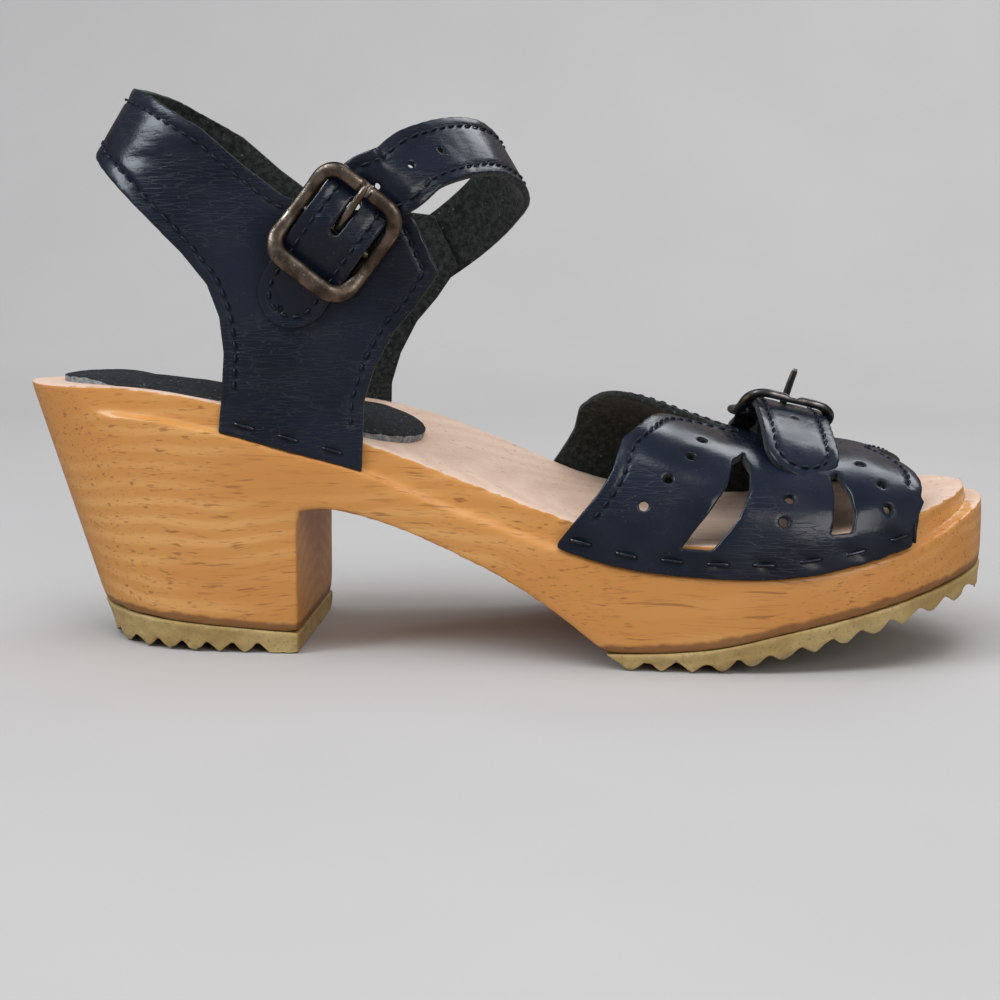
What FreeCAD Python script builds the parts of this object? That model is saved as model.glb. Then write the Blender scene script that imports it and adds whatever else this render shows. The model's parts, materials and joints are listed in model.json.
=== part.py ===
"""Heeled wooden clog sandal, right foot, EU 38.

Frame: millimetres, +X to the toe, +Y to the inner (big toe) side, +Z up.
The origin is at floor level below the middle of the overall box.
"""
import FreeCAD, Part
import math
import os

V = FreeCAD.Vector
KNEE = 1 - math.sqrt(0.5)  # depth of a quarter bend's middle below its corner, over its radius

# ---- driving dimensions -------------------------------------------------
MIDDLE_Y = 2.3             # middle of the overall box, from the middle of the heel
LAST_TOP = 72.0            # height at which the plan outline is drawn
SIDE = 80.0                # half width of every cutting prism
REBATE_WIDTH = 3.0
TOE_REBATE_WIDTH = 4.5
HEEL_FRONT = -49.4         # front face of the heel block
HEEL_CORNER = 3.0          # radius where the heel block meets the shank
HEEL_NARROWING = 0.95      # heel foot width over heel seat width
HEEL_SHORTENING = 0.70     # heel foot length over heel seat length
FOREFOOT_NARROWING = 0.96
TOOTH = 2.4
TOOTH_LAND = 1.4
HEEL_PITCH = 6.6
FOREFOOT_PITCH = 7.4
FOAM = 0.7
PAD_COVER = 1.0
LEATHER = 2.0
STRAP_THICK = 1.8
BAR = 1.1                  # radius of a buckle's centre bar
RIM_BAR = 1.35             # radius of a buckle's outer bars
RISE = 3.2                 # end bars stand this far above the centre bar
GAP = 0.1                  # play round a centre bar
CLEARANCE = 0.3            # between pieces that move past each other
SEAT_GAP = 0.1             # between the leather and the wood it is stapled to
PRONG = 1.05               # radius of a tongue
PRONG_LIFT = 35.0          # how far the vamp buckle's tongue stands up from its notch
SWING = 3.0                # degrees that a buckle frame rocks either way
FRAME_LENGTH = 27.0
FRAME_CORNER = 4.0
CHAPE_WIDTH = 11.0
CHAPE_LEATHER = 1.2
STAPLE_WIRE = 0.45         # radius
STAPLE_LENGTH = 5.0
STAPLE_LEG = 5.5
STAPLE_BEND = 0.8
STAPLE_HEIGHT = 3.4        # above the ledge
VAMP_STAPLES = range(22, 104, 11)
SLING_STAPLES = (-62, -51, -40)

# Plan outline at LAST_TOP, from the back of the heel round the outer side.
OUTLINE = [(-126, 0), (-121.5, -12), (-112, -21), (-97, -27.5), (-75, -30), (-45, -30.2),
           (-15, -33), (15, -39.5), (45, -44.5), (75, -44), (100, -36.5), (117, -20),
           (125.5, 4), (121, 22), (108, 35.5), (88, 44.5), (62, 48.5), (35, 46.5),
           (5, 39), (-25, 32.5), (-55, 30.3), (-80, 29.7), (-100, 26.5), (-113, 20.5),
           (-121.5, 12)]
# x, rim height on the outer side, rim height on the inner side, dish, half width, rebate drop
FOOTBED = [(-135, 68.6, 68.2, 0.8, 30, 7.0), (-115, 68.6, 67.6, 1.0, 30, 7.0),
           (-99, 68.2, 66.8, 1.2, 30, 7.0), (-83, 66.6, 65.0, 1.2, 30, 7.4),
           (-69, 64.0, 63.4, 1.2, 30, 7.6), (-50, 59.2, 61.6, 1.2, 30, 7.8),
           (-32, 54.1, 59.4, 1.4, 31, 7.6), (-14, 47.9, 54.0, 1.6, 34, 8.4),
           (4, 41.9, 46.0, 1.8, 38, 8.4), (18, 37.4, 39.4, 2.0, 41, 8.2),
           (34, 33.6, 34.6, 2.2, 44, 8.2), (50, 32.0, 32.4, 2.4, 46, 8.0),
           (70, 32.6, 32.6, 2.4, 46, 8.8), (88, 35.5, 35.5, 2.0, 42, 9.0),
           (105, 39.3, 39.3, 1.4, 36, 8.0), (118, 41.8, 41.8, 0.8, 30, 5.2),
           (135, 43.6, 43.6, 0.6, 30, 9.6)]
# Underside of the shank, then the line where the wood meets the front rubber.
SHANK = [(-46.4, 37.3), (-38.5, 36.9), (-32, 35.4), (-20, 31.5), (-9, 26.8), (3, 21.2),
         (12.5, 15.6), (22, 8.9), (28.2, 3.9)]
FOREFOOT_SEAM = [(28.2, 3.9), (43, 4.8), (56, 6.3), (68, 9.1), (80, 11.9), (93, 14.9),
                 (106, 18.0), (125, 21.8), (140, 24.5)]
# Line through the tips of the front teeth: flat on the floor, then the toe spring.
TREAD = [(30, 0), (57, 0), (65, 1.7), (78, 4.8), (92, 8.5), (106, 12.4), (125, 15.8), (140, 18)]
# Vamp sections: x, outer half width, inner half width, lowest height, crest height
VAMP = [(4, 36.6, 38.6, 32, 66.5), (20, 40.2, 42.0, 28, 65.8), (35, 42.8, 45.6, 25, 63.2),
        (50, 44.2, 47.2, 25, 58.0), (65, 44.4, 47.6, 25, 53.6), (80, 42.8, 46.0, 26, 52.0),
        (95, 38.4, 42.0, 28, 50.4), (108, 31.4, 35.2, 30, 45.8), (116, 24.6, 28.8, 32, 42.0)]
VAMP_BOX = 3.0             # 2 is an ellipse, more is boxier
VAMP_FOOT = 9.0            # the sections go straight on down this far below their lowest height


def along(table, x, column):
    """Straight-line value of one column of a table at x."""
    for low, high in zip(table, table[1:]):
        if x <= high[0]:
            break
    part = (x - low[0]) / (high[0] - low[0])
    return low[column] + part * (high[column] - low[column])


def curve(points):
    """One smooth edge through points."""
    spline = Part.BSplineCurve()
    spline.interpolate(points)
    return spline.toShape()


def closed(points, z, **spacing):
    """Closed smooth wire through plan points."""
    spline = Part.BSplineCurve()
    spline.interpolate(Points=[V(x, y, z) for x, y in points], PeriodicFlag=True, **spacing)
    return Part.Wire(spline.toShape())


def ring(points, z):
    """Closed wire through one point per OUTLINE point, all rings spaced alike for lofting."""
    parameters = [0.0]
    for a, b in zip(OUTLINE, OUTLINE[1:] + OUTLINE[:1]):
        parameters.append(parameters[-1] + math.dist(a, b))
    return closed(points, z, Parameters=parameters)


def slab(wire, bottom, top):
    """Straight-sided solid on a plan wire drawn at z = bottom."""
    return Part.Face(wire).extrude(V(0, 0, top - bottom))


def side_prism(edges, y_low=-SIDE, y_high=SIDE):
    """Solid with an XZ outline, running along Y."""
    face = Part.Face(Part.Wire(edges))
    face.translate(V(0, y_low, 0))
    return face.extrude(V(0, y_high - y_low, 0))


def polyline(points):
    """Straight edges through 3-D points."""
    return [Part.LineSegment(a, b).toShape() for a, b in zip(points, points[1:])]


def xz(points):
    return [V(x, 0, z) for x, z in points]


def footbed_height(x, y):
    """Height of the dished footbed, which also rises to the arch on the inner side."""
    outer = along(FOOTBED, x, 1)
    inner = along(FOOTBED, x, 2)
    dish = along(FOOTBED, x, 3)
    t = max(-1.3, min(1.3, y / along(FOOTBED, x, 4)))
    return (outer + inner) / 2 + t * (inner - outer) / 2 + dish * (t * t - 1)


def above_footbed(offset):
    """Everything above the footbed surface moved up by offset."""
    return above_surface(lambda x, y: footbed_height(x, y) + offset)


def rebate_height(x, y):
    """Height of the ledge that the leather stands on."""
    return footbed_height(x, y) - along(FOOTBED, x, 5)


def above_surface(height):
    stations = [row[0] for row in FOOTBED]
    grid = [[V(x, y, height(x, y)) for y in range(-60, 61, 15)] for x in stations]
    surface = Part.BSplineSurface()
    surface.interpolate(grid)
    return surface.toShape().extrude(V(0, 0, 90))


def tuck(x, y):
    """Where a point of the plan outline ends up at floor level."""
    if x <= HEEL_FRONT:
        return HEEL_FRONT + (x - HEEL_FRONT) * HEEL_SHORTENING, y * HEEL_NARROWING
    blend = min(1.0, (x - HEEL_FRONT) / 65.0)
    return x, y * (HEEL_NARROWING + blend * (FOREFOOT_NARROWING - HEEL_NARROWING))


def inset(points, width):
    """Plan points moved inwards by width(x)."""
    moved = []
    for i, (x, y) in enumerate(points):
        ahead = points[(i + 1) % len(points)]
        behind = points[i - 1]
        run = V(ahead[0] - behind[0], ahead[1] - behind[1], 0)
        inward = V(0, 0, 1).cross(run).normalize()
        moved.append((x + inward.x * width(x), y + inward.y * width(x)))
    return moved


def rebate_width(x):
    if x < -95:
        return max(-0.5, REBATE_WIDTH * (x + 110) / 15)
    if x > 95:
        return REBATE_WIDTH + min(1.0, (x - 95) / 25) * (TOE_REBATE_WIDTH - REBATE_WIDTH)
    return REBATE_WIDTH


def last_body():
    """Tapered block that carries the sole's side walls, from the floor to LAST_TOP."""
    low = ring([tuck(x, y) for x, y in OUTLINE], 0)
    high = ring(OUTLINE, LAST_TOP)
    return Part.makeLoft([low, high], True, True)


def heel_seam(x):
    """Height of the line where the wood meets the heel rubber."""
    return 9.4 - 0.077 * (x + 103)


def seat(shape):
    """The part of a leather piece that is left once it stands on the ledge, clear of the wood."""
    core = slab(ring(inset(OUTLINE, lambda x: rebate_width(x) - SEAT_GAP), 0), 0, 120)
    wood = core.cut(above_footbed(SEAT_GAP))
    standing = shape.common(above_surface(lambda x, y: rebate_height(x, y) + SEAT_GAP))
    return biggest(standing.cut(wood))


def wooden_sole(body):
    corner = HEEL_CORNER
    top = SHANK[0][1]
    bottom = heel_seam(HEEL_FRONT)
    rise = Part.LineSegment(V(HEEL_FRONT, 0, bottom), V(HEEL_FRONT, 0, top - corner))
    bend = Part.Arc(V(HEEL_FRONT, 0, top - corner),
                    V(HEEL_FRONT + KNEE * corner, 0, top - KNEE * corner),
                    V(HEEL_FRONT + corner, 0, top))
    edges = [rise.toShape(), bend.toShape(), curve(xz(SHANK)), curve(xz(FOREFOOT_SEAM))]
    edges += polyline(xz([FOREFOOT_SEAM[-1], (140, 100), (-140, 100), (-140, heel_seam(-140)),
                          (HEEL_FRONT, bottom)]))
    wood = body.common(side_prism(edges)).cut(above_footbed(0))
    core = slab(ring(inset(OUTLINE, rebate_width), 0), 0, 120)
    return wood.cut(above_surface(rebate_height).cut(core))


def teeth(start, end, pitch, tread):
    """Saw-tooth line from start to end, with a small flat land on every tip."""
    points = []
    count = int((end - start) / pitch)
    for i in range(count):
        x = start + i * pitch
        points.append((x, tread(x)))
        points.append((x + TOOTH_LAND, tread(x + TOOTH_LAND)))
        valley = x + TOOTH_LAND + (pitch - TOOTH_LAND) / 2
        points.append((valley, tread(valley) + TOOTH))
    last = start + count * pitch
    points.append((last, tread(last)))
    return points


def heel_rubber(body):
    line = teeth(-103.5, HEEL_FRONT - TOOTH_LAND, HEEL_PITCH, lambda x: 0.0)
    line.append((HEEL_FRONT, 0))
    outline = [(-112, heel_seam(-112)), (-112, 2.0)] + line + [(HEEL_FRONT, heel_seam(HEEL_FRONT))]
    return body.common(side_prism(polyline(xz(outline + outline[:1]))))


def forefoot_rubber(body):
    line = teeth(33.8, 132, FOREFOOT_PITCH, lambda x: along(TREAD, x, 1))
    edges = [curve(xz(FOREFOOT_SEAM))]
    edges += polyline(xz([FOREFOOT_SEAM[-1]] + line[::-1] + [FOREFOOT_SEAM[0]]))
    return body.common(side_prism(edges))


def heel_pad():
    """Foam and cover of the pad on the heel seat, round at its front end."""
    plan = [(-115, 0), (-111.5, -11), (-104, -18.5), (-91, -24), (-70, -26), (-48, -25.5),
            (-32, -20.5), (-23, -10), (-20.5, 1), (-23, 12), (-32, 21), (-48, 25.5),
            (-70, 26), (-91, 24), (-104, 18.5), (-111.5, 11)]
    column = slab(closed(plan, 30), 30, 100)
    foam = column.common(above_footbed(0)).cut(above_footbed(FOAM))
    cover = column.common(above_footbed(FOAM)).cut(above_footbed(FOAM + PAD_COVER))
    return foam, cover


def vamp_point(x, angle, inset_by=0.0):
    """Point of the arched vamp surface; angle 0 is the inner edge, 180 the outer edge."""
    c = math.cos(math.radians(angle))
    s = math.sin(math.radians(angle))
    half = along(VAMP, x, 2 if c > 0 else 1) - inset_by
    low = along(VAMP, x, 3)
    crest = along(VAMP, x, 4) - inset_by
    power = 2 / VAMP_BOX
    return V(x, math.copysign(half * abs(c) ** power, c), low + (crest - low) * abs(s) ** power)


def arch(inset_by, lower):
    """Solid arch under the vamp surface."""
    wires = []
    for x in [row[0] for row in VAMP]:
        points = [vamp_point(x, angle, inset_by) for angle in (0, 12, 30, 52, 72, 90, 108, 128, 150,
                                                               168, 180)]
        points[0].z -= lower
        points[-1].z -= lower
        wires.append(Part.Wire([curve(points), Part.LineSegment(points[-1], points[0]).toShape()]))
    return Part.makeLoft(wires, True, False)


THROAT = [(6, -39.6), (16, -39.4), (24, -38.2), (28, -36.3), (31.5, -33.6), (36, -27.5), (40, -18),
          (45, -10.5), (52, -5), (60, 0), (52, 8), (42, 14), (33, 19), (28.5, 23), (24.5, 28.5),
          (19.5, 34.5), (14, 38.6), (5, 41.2)]
# The same edge further down each side: x and height
OUTER_REAR = [(6, 18), (15.3, 30), (20.6, 36.8), (26.4, 44), (29.4, 49), (31.6, 55.8), (20, 66),
              (-20, 66), (-20, 18)]
INNER_REAR = [(1, 22), (12.2, 40.4), (15.6, 45.6), (18.4, 50.5), (19.8, 57), (10, 66), (-20, 66),
              (-20, 22)]
TOE_EDGE = [(102.5, -34), (105.3, -27), (105.2, -18), (101.6, -8), (98, 1), (102.5, 11),
            (107, 21), (108, 29), (105.5, 38)]
SLOT_REAR = [(58.8, 51), (57.4, 46.5), (53.6, 41), (45.9, 30.8), (53.5, 30.4), (60, 38.6),
             (62.6, 44.8), (63.2, 49), (61.5, 52)]
SLOT_FRONT = [(82.4, 47.5), (82.9, 43), (82, 34.4), (87.3, 34.8), (88.1, 39), (87, 43.8),
              (84.2, 48.2)]
# x and angle of every punched hole on the outer side; the inner side mirrors them
HOLES = [(51.5, 117), (48.5, 133), (43, 150), (37, 164), (72, 150), (70.5, 163),
         (90.5, 118), (95, 138), (96, 157)]


def vamp():
    shell = arch(0, VAMP_FOOT).cut(arch(LEATHER, VAMP_FOOT + 1))
    throat = [V(x, y, 10) for x, y in THROAT]
    rear = [curve(throat)] + polyline([throat[-1], V(-20, throat[-1].y, 10),
                                      V(-20, throat[0].y, 10), throat[0]])
    toe = [V(x, y, 10) for x, y in TOE_EDGE]
    front = [curve(toe)] + polyline([toe[-1], V(105.5, SIDE, 10), V(150, SIDE, 10),
                                     V(150, -SIDE, 10), V(102.5, -SIDE, 10), toe[0]])
    cutters = [slab(Part.Wire(rear), 10, 100), slab(Part.Wire(front), 10, 100)]
    cutters.append(side_prism(polyline(xz(OUTER_REAR + OUTER_REAR[:1])), -SIDE, -30))
    cutters.append(side_prism(polyline(xz(INNER_REAR + INNER_REAR[:1])), 30, SIDE))
    for slot, inner_y in ((SLOT_REAR, 7), (SLOT_FRONT, 9)):
        edges = polyline(xz(slot + slot[:1]))
        cutters.append(side_prism(edges, -SIDE, -inner_y))
        cutters.append(side_prism(edges, inner_y, SIDE))
    for x, angle in HOLES:
        for turn in (angle, 180 - angle):
            outside = vamp_point(x, turn)
            aim = V(x, 0, 34) - outside
            start = outside - aim.normalize() * 4
            cutters.append(Part.makeCylinder(1.25, 12, start, aim))
    for cutter in cutters:
        shell = shell.cut(cutter)
    return seat(shell)


def biggest(shape):
    """The largest solid of a result, without slivers."""
    return max(shape.Solids, key=lambda solid: solid.Volume)


def clear_of(shape, room):
    """The shape with every solid of room taken away."""
    for solid in room:
        shape = biggest(shape.cut(solid))
    return shape


# ---- ankle sling ----------------------------------------------------------
SLING = [(-69.2, 50), (-67.7, 66), (-67, 76), (-68, 85), (-71, 93), (-77, 100.5), (-85, 108.5),
         (-93, 116), (-103.5, 126), (-125, 140), (-125, 152), (-94.2, 142.3), (-87, 139.8),
         (-72, 131), (-62, 122.3), (-52, 114.8), (-42, 111.5), (-28, 111), (-20, 110), (-13.5, 96),
         (-19.4, 87.5), (-25, 81), (-29.6, 72.3), (-32.2, 64), (-33, 42)]
SLING_LOW = 42.0
SLING_HIGH = 150.0
SLING_LEAN = 0.59          # forward lean of the heel strap per millimetre of height
SLING_BEND = 36.0          # length of the round stretch behind the heel
SLING_SPREAD = 0.75        # width of that stretch a quarter of the way in, over its full width


def sling_half_widths(z):
    """Outer and inner half width of the sling at height z."""
    return 29.1 - (z - 55) * 0.035, 30.4 - (z - 55) * 0.045


def sling_side(side):
    """Gives the y of the sling's outer face at height z, where it stands on the sole."""
    return lambda x, z: side * sling_half_widths(z)[0 if side < 0 else 1]


def sling_wall(z, thick):
    """U-shaped plan wire round the heel at height z, open to the front."""
    back = -103.5 + (z - 126) * SLING_LEAN
    outer, inner = sling_half_widths(z)
    edges = []
    ends = []
    for shrink in (0, thick):
        left = V(back + SLING_BEND, -(outer - shrink), z)
        right = V(back + SLING_BEND, inner - shrink, z)
        rear = V(back + shrink, (inner - outer) / 2, z)
        knee_x = rear.x + (1 - SLING_SPREAD) * (SLING_BEND - shrink)
        knee_left = V(knee_x, left.y * SLING_SPREAD, z)
        knee_right = V(knee_x, right.y * SLING_SPREAD, z)
        start = V(0, left.y, z)
        stop = V(0, right.y, z)
        bow = Part.BSplineCurve()
        bow.interpolate(Points=[left, knee_left, rear, knee_right, right],
                        InitialTangent=V(-1, 0, 0), FinalTangent=V(1, 0, 0))
        edges.append([Part.LineSegment(start, left).toShape(), bow.toShape(),
                      Part.LineSegment(right, stop).toShape()])
        ends.append((start, stop))
    across = [Part.LineSegment(ends[0][1], ends[1][1]).toShape(),
              Part.LineSegment(ends[1][0], ends[0][0]).toShape()]
    return Part.Wire(Part.__sortEdges__(edges[0] + [across[0]] + edges[1] + [across[1]]))


def ankle_sling():
    wall = Part.makeLoft([sling_wall(SLING_LOW, LEATHER), sling_wall(SLING_HIGH, LEATHER)],
                         True, True)
    pattern = side_prism(polyline(xz(SLING + SLING[:1])))
    return seat(wall.common(pattern))


# ---- straps and buckles -----------------------------------------------------
class Place:
    """Local frame of a buckle: u along the strap, v along the centre bar, n outwards."""

    def __init__(self, origin, u, n):
        self.origin = origin
        self.u = V(u).normalize()
        self.v = V(n).cross(self.u).normalize()
        self.n = self.u.cross(self.v)

    def at(self, u, v, n):
        return self.origin + self.u * u + self.v * v + self.n * n

    def turn(self, shape):
        """Moves a shape modelled with x=u, y=v, z=n to its place."""
        matrix = FreeCAD.Matrix(self.u.x, self.v.x, self.n.x, self.origin.x,
                                self.u.y, self.v.y, self.n.y, self.origin.y,
                                self.u.z, self.v.z, self.n.z, self.origin.z, 0, 0, 0, 1)
        moved = shape.copy()
        moved.Placement = FreeCAD.Placement(matrix) * shape.Placement
        return moved


ANKLE = Place(V(-38.0, -30.7, 105.8), V(0.61, 0, 0.79), V(0, -1, 0.035))
INSTEP = Place(V(73.2, 9.2, 56.7), V(0.166, -0.95, 0.269), V(0.20, 0.30, 0.95))
# Strap centre line in a buckle's frame: (u, n), tip side first
WEAVE = [(-12.3, 0.2), (-6, 2.3), (0, 3.45), (6, 2.9), (12.3, 0.2)]
# The same for the ankle strap's tip, which lies on the quarter
TIP_LAY = [(-27.4, -2.3), (-23, -2.3), (-19, -1.9), (-15.5, -0.9)]


def band(stations, width):
    """Strap of even thickness through (centre, direction across) stations."""
    wires = []
    count = len(stations)
    for i, (centre, across) in enumerate(stations):
        ahead = stations[min(i + 1, count - 1)][0]
        behind = stations[max(i - 1, 0)][0]
        run = (ahead - behind).normalize()
        side = (across - run * across.dot(run)).normalize()
        face = run.cross(side)
        a = side * (width / 2)
        b = face * (STRAP_THICK / 2)
        corners = [centre - a - b, centre + a - b, centre + a + b, centre - a + b]
        wires.append(Part.Wire(polyline(corners + corners[:1])))
    return Part.makeLoft(wires, True, False)


def prong_slot(place, start, end):
    """Worn, lengthened hole that the prong passes through."""
    half = PRONG + 2 * CLEARANCE
    return place.turn(Part.makeBox(end - start, 2 * half, 12, V(start, -half, -3)))


ANKLE_WIDTH = 17.4
ANKLE_FRAME = 23.4
# Centre line round the ankle from the buckle to the inner quarter, and the way each faces
LOOP = [((-23.2, -31.2, 118.6), (0.05, -0.99, 0.1)), ((-18.6, -27.6, 122.8), (0.1, -0.94, 0.3)),
        ((-13.5, -22.2, 125.2), (0.2, -0.87, 0.42)), ((-8.8, -15.2, 126.6), (0.32, -0.8, 0.5)),
        ((-4.4, -8, 127), (0.5, -0.65, 0.57)), ((-0.6, 0, 125.8), (0.68, -0.42, 0.6)),
        ((2, 7, 123), (0.82, -0.1, 0.55)), ((1.8, 13.8, 119.6), (0.84, 0.25, 0.45)),
        ((-2.6, 21, 114.6), (0.66, 0.68, 0.32)), ((-8.2, 26.6, 109.4), (0.42, 0.88, 0.2)),
        ((-14, 29.6, 104.8), (0.2, 0.97, 0.1)), ((-20, 30.4, 100.6), (0, 1, 0.04)),
        ((-28, 30.6, 95.4), (0, 1, 0.04)), ((-36, 30.9, 90.2), (0, 1, 0.04))]


def ankle_strap():
    stations = []
    for u, n in TIP_LAY + WEAVE:
        stations.append((ANKLE.at(u, 0, n), ANKLE.v))
    for i, (centre, facing) in enumerate(LOOP):
        ahead = LOOP[min(i + 1, len(LOOP) - 1)][0]
        behind = LOOP[max(i - 1, 0)][0]
        run = V(*ahead) - V(*behind)
        stations.append((V(*centre), V(*facing).cross(run).normalize()))
    strap = band(stations, ANKLE_WIDTH)
    tip = ANKLE.turn(round_tip(ANKLE_WIDTH, TIP_LAY[0][0]))
    strap = strap.cut(prong_slot(ANKLE, -0.6, 9.9)).cut(tip)
    return clear_of(strap, rocking_rim(ANKLE, ANKLE_FRAME))


def round_tip(width, end):
    """Cutter that leaves a half-round strap tip with its point at x = end, facing -x."""
    radius = width / 2
    block = Part.makeBox(radius + 2, width + 4, 14, V(end - 2, -radius - 2, -7))
    disc = Part.makeCylinder(radius, 20, V(end + radius, 0, -10))
    return block.cut(disc)


VAMP_STRAP_WIDTH = 19.0
VAMP_FRAME = 24.8
# Centre line of the vamp strap: down the outer side to its tip, and to the inner side
TIP_RUN = [(76.2, -32.4, 46.6), (76.1, -29.2, 49.6), (76, -24.5, 52.8), (75.8, -18, 55.6),
           (75.5, -10.5, 57.9)]
INNER_RUN = [(70.4, 27.5, 51.6), (70.6, 36, 46.8), (71, 43, 39.4), (71.2, 46.9, 31.5),
             (71.3, 47.6, 24.6)]


def vamp_strap():
    across = INSTEP.v
    stations = [(V(*p), across) for p in TIP_RUN]
    stations += [(INSTEP.at(-u, 0, n), across) for u, n in WEAVE]
    stations += [(V(*p), V(1, 0, -0.12 if i < 2 else 0)) for i, p in enumerate(INNER_RUN)]
    aligned = []
    for centre, direction in stations:
        aligned.append((centre, direction if direction.x > 0 else direction * -1))
    strap = band(aligned, VAMP_STRAP_WIDTH)
    end = V(*TIP_RUN[0])
    tip = Place(end, V(*TIP_RUN[1]) - end, (V(*TIP_RUN[1]) - end).cross(across))
    strap = strap.cut(prong_slot(INSTEP, -0.9, 9.4)).cut(tip.turn(round_tip(VAMP_STRAP_WIDTH, 0)))
    return clear_of(strap, rocking_rim(INSTEP, VAMP_FRAME) + [arch(-SEAT_GAP, VAMP_FOOT)])


HALF_LENGTH = FRAME_LENGTH / 2 - RIM_BAR
TONGUE_START = V(1.2, 0, 0.9)
TONGUE_TIP = V(HALF_LENGTH + 1.2, 0, RISE + RIM_BAR + 0.9)


def rim(width, radius):
    """Arched ring of round bar, as tubes and the balls that join them."""
    half_u = HALF_LENGTH
    half_v = width / 2 - RIM_BAR
    corner = FRAME_CORNER

    def lift(u):
        return RISE * (u / half_u) ** 2

    side = [V(u, half_v, lift(u)) for u in (-half_u + corner, -half_u / 3, 0, half_u / 3,
                                            half_u - corner)]
    end = V(half_u, half_v - corner, RISE)
    bend = V(half_u - KNEE * corner, half_v - KNEE * corner, lift(half_u - KNEE * corner))
    parts = []
    arcs = []
    for su in (1, -1):
        a = V(su * side[-1].x, side[-1].y, side[-1].z)
        arc = Part.Arc(a, V(su * bend.x, bend.y, bend.z), V(su * end.x, end.y, end.z))
        arcs.append(arc.toShape())
    half_ring = [arcs[0], curve(side), arcs[1]]
    mirrored = [edge.mirror(V(0, 0, 0), V(0, 1, 0)) for edge in half_ring]
    closing = [Part.LineSegment(V(s * half_u, half_v - corner, RISE),
                                V(s * half_u, corner - half_v, RISE)).toShape() for s in (1, -1)]
    path = Part.Wire(Part.__sortEdges__(half_ring + mirrored + closing))
    for edge in path.Edges:
        tube_start = edge.valueAt(edge.FirstParameter)
        tangent = edge.tangentAt(edge.FirstParameter)
        profile = Part.Wire(Part.makeCircle(radius, tube_start, tangent))
        parts.append(Part.Wire([edge]).makePipeShell([profile], True, True))
        parts.append(Part.makeSphere(radius, tube_start))
    return parts


def rocking_rim(place, width):
    """Room that a buckle frame needs as it rocks on its centre bar."""
    bar = Part.makeCylinder(BAR + CLEARANCE, width, V(0, -width / 2, 0), V(0, 1, 0))
    room = [place.turn(bar)]
    for angle in (-SWING, SWING):
        for part in rim(width, RIM_BAR + CLEARANCE):
            part.rotate(V(0, 0, 0), V(0, 1, 0), angle)
            room.append(place.turn(part))
    return room


def frame(width):
    """Buckle frame: the rim, a straight centre bar and a notch for the tongue."""
    half_v = width / 2 - RIM_BAR
    whole = Part.makeCylinder(BAR, 2 * half_v, V(0, -half_v, 0), V(0, 1, 0))
    for part in rim(width, RIM_BAR):
        whole = whole.fuse(part)
    run = TONGUE_TIP - TONGUE_START
    notch = Part.makeCylinder(PRONG + CLEARANCE, run.Length, TONGUE_START + run * 0.5, run)
    return whole.removeSplitter().cut(notch)


def tongue():
    """Straight wire tongue with an eye round the centre bar."""
    eye = Part.makeCylinder(BAR + GAP + 1.1, 2 * PRONG, V(0, -PRONG, 0), V(0, 1, 0))
    run = TONGUE_TIP - TONGUE_START
    wire = PRONG - 0.02        # a little thinner than the eye is wide, so that no faces line up
    shaft = Part.makeCylinder(wire, run.Length, TONGUE_START, run)
    whole = eye.fuse(shaft).fuse(Part.makeSphere(wire, TONGUE_TIP))
    return whole.cut(Part.makeCylinder(BAR + GAP, 6, V(0, -3, 0), V(0, 1, 0)))


def chape(tail, floor, depth):
    """Leather loop that ties the centre bar to the upper, split for the tongue.

    Its foot spans n = floor - depth to floor + CHAPE_LEATHER, for the upper to be cut away from.
    """
    half = CHAPE_WIDTH / 2
    loop = Part.makeCylinder(BAR + GAP + 0.9, CHAPE_WIDTH, V(0, -half, 0), V(0, 1, 0))
    foot = Part.makeBox(tail, CHAPE_WIDTH, CHAPE_LEATHER + depth, V(-tail, -half, floor - depth))
    neck = Part.makeBox(2 * BAR + 1.2, CHAPE_WIDTH, depth - floor, V(-BAR - 0.6, -half, floor - depth))
    bore = Part.makeCylinder(BAR + GAP, CHAPE_WIDTH + 4, V(0, -half - 2, 0), V(0, 1, 0))
    room = PRONG + 2 * CLEARANCE
    gap = Part.makeBox(9, 2 * room, 12, V(-4.5, -room, -BAR - GAP - 1.1 - CLEARANCE))
    return loop.fuse(foot).fuse(neck).removeSplitter().cut(bore).cut(gap)


def staple(centre, run, outward):
    """Wire staple: its crown lies on the leather, its legs are driven into the wood."""
    run = V(run).normalize()
    half = STAPLE_LENGTH / 2
    bend = STAPLE_BEND

    def at(u, depth):
        return centre + run * u - outward * depth

    def corner(u, way):
        knee = KNEE * bend
        return Part.Arc(at(u, bend), at(u + way * knee, knee), at(u + way * bend, 0)).toShape()

    feet = [at(-half, STAPLE_LEG), at(-half, bend), at(bend - half, 0), at(half - bend, 0),
            at(half, bend), at(half, STAPLE_LEG)]
    edges = [Part.LineSegment(feet[0], feet[1]).toShape(), corner(-half, 1),
             Part.LineSegment(feet[2], feet[3]).toShape(), corner(half, -1),
             Part.LineSegment(feet[4], feet[5]).toShape()]
    profile = Part.Wire(Part.makeCircle(STAPLE_WIRE, feet[0], outward))
    return Part.Wire(Part.__sortEdges__(edges)).makePipeShell([profile], True, True)


def staple_row(stations, surface, side):
    """Staples at x stations along the foot of a leather piece; surface gives its y there."""
    row = []
    for x in stations:
        points = []
        for place in (x - 2, x, x + 2):
            z = rebate_height(place, side * along(FOOTBED, place, 4)) + STAPLE_HEIGHT
            points.append(V(place, surface(place, z), z))
        run = points[2] - points[0]
        outward = V(-run.y, run.x, 0).normalize() * side
        row.append(staple(points[1] + outward * (STAPLE_WIRE * 0.6), run, outward))
    return Part.makeCompound(row)


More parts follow.
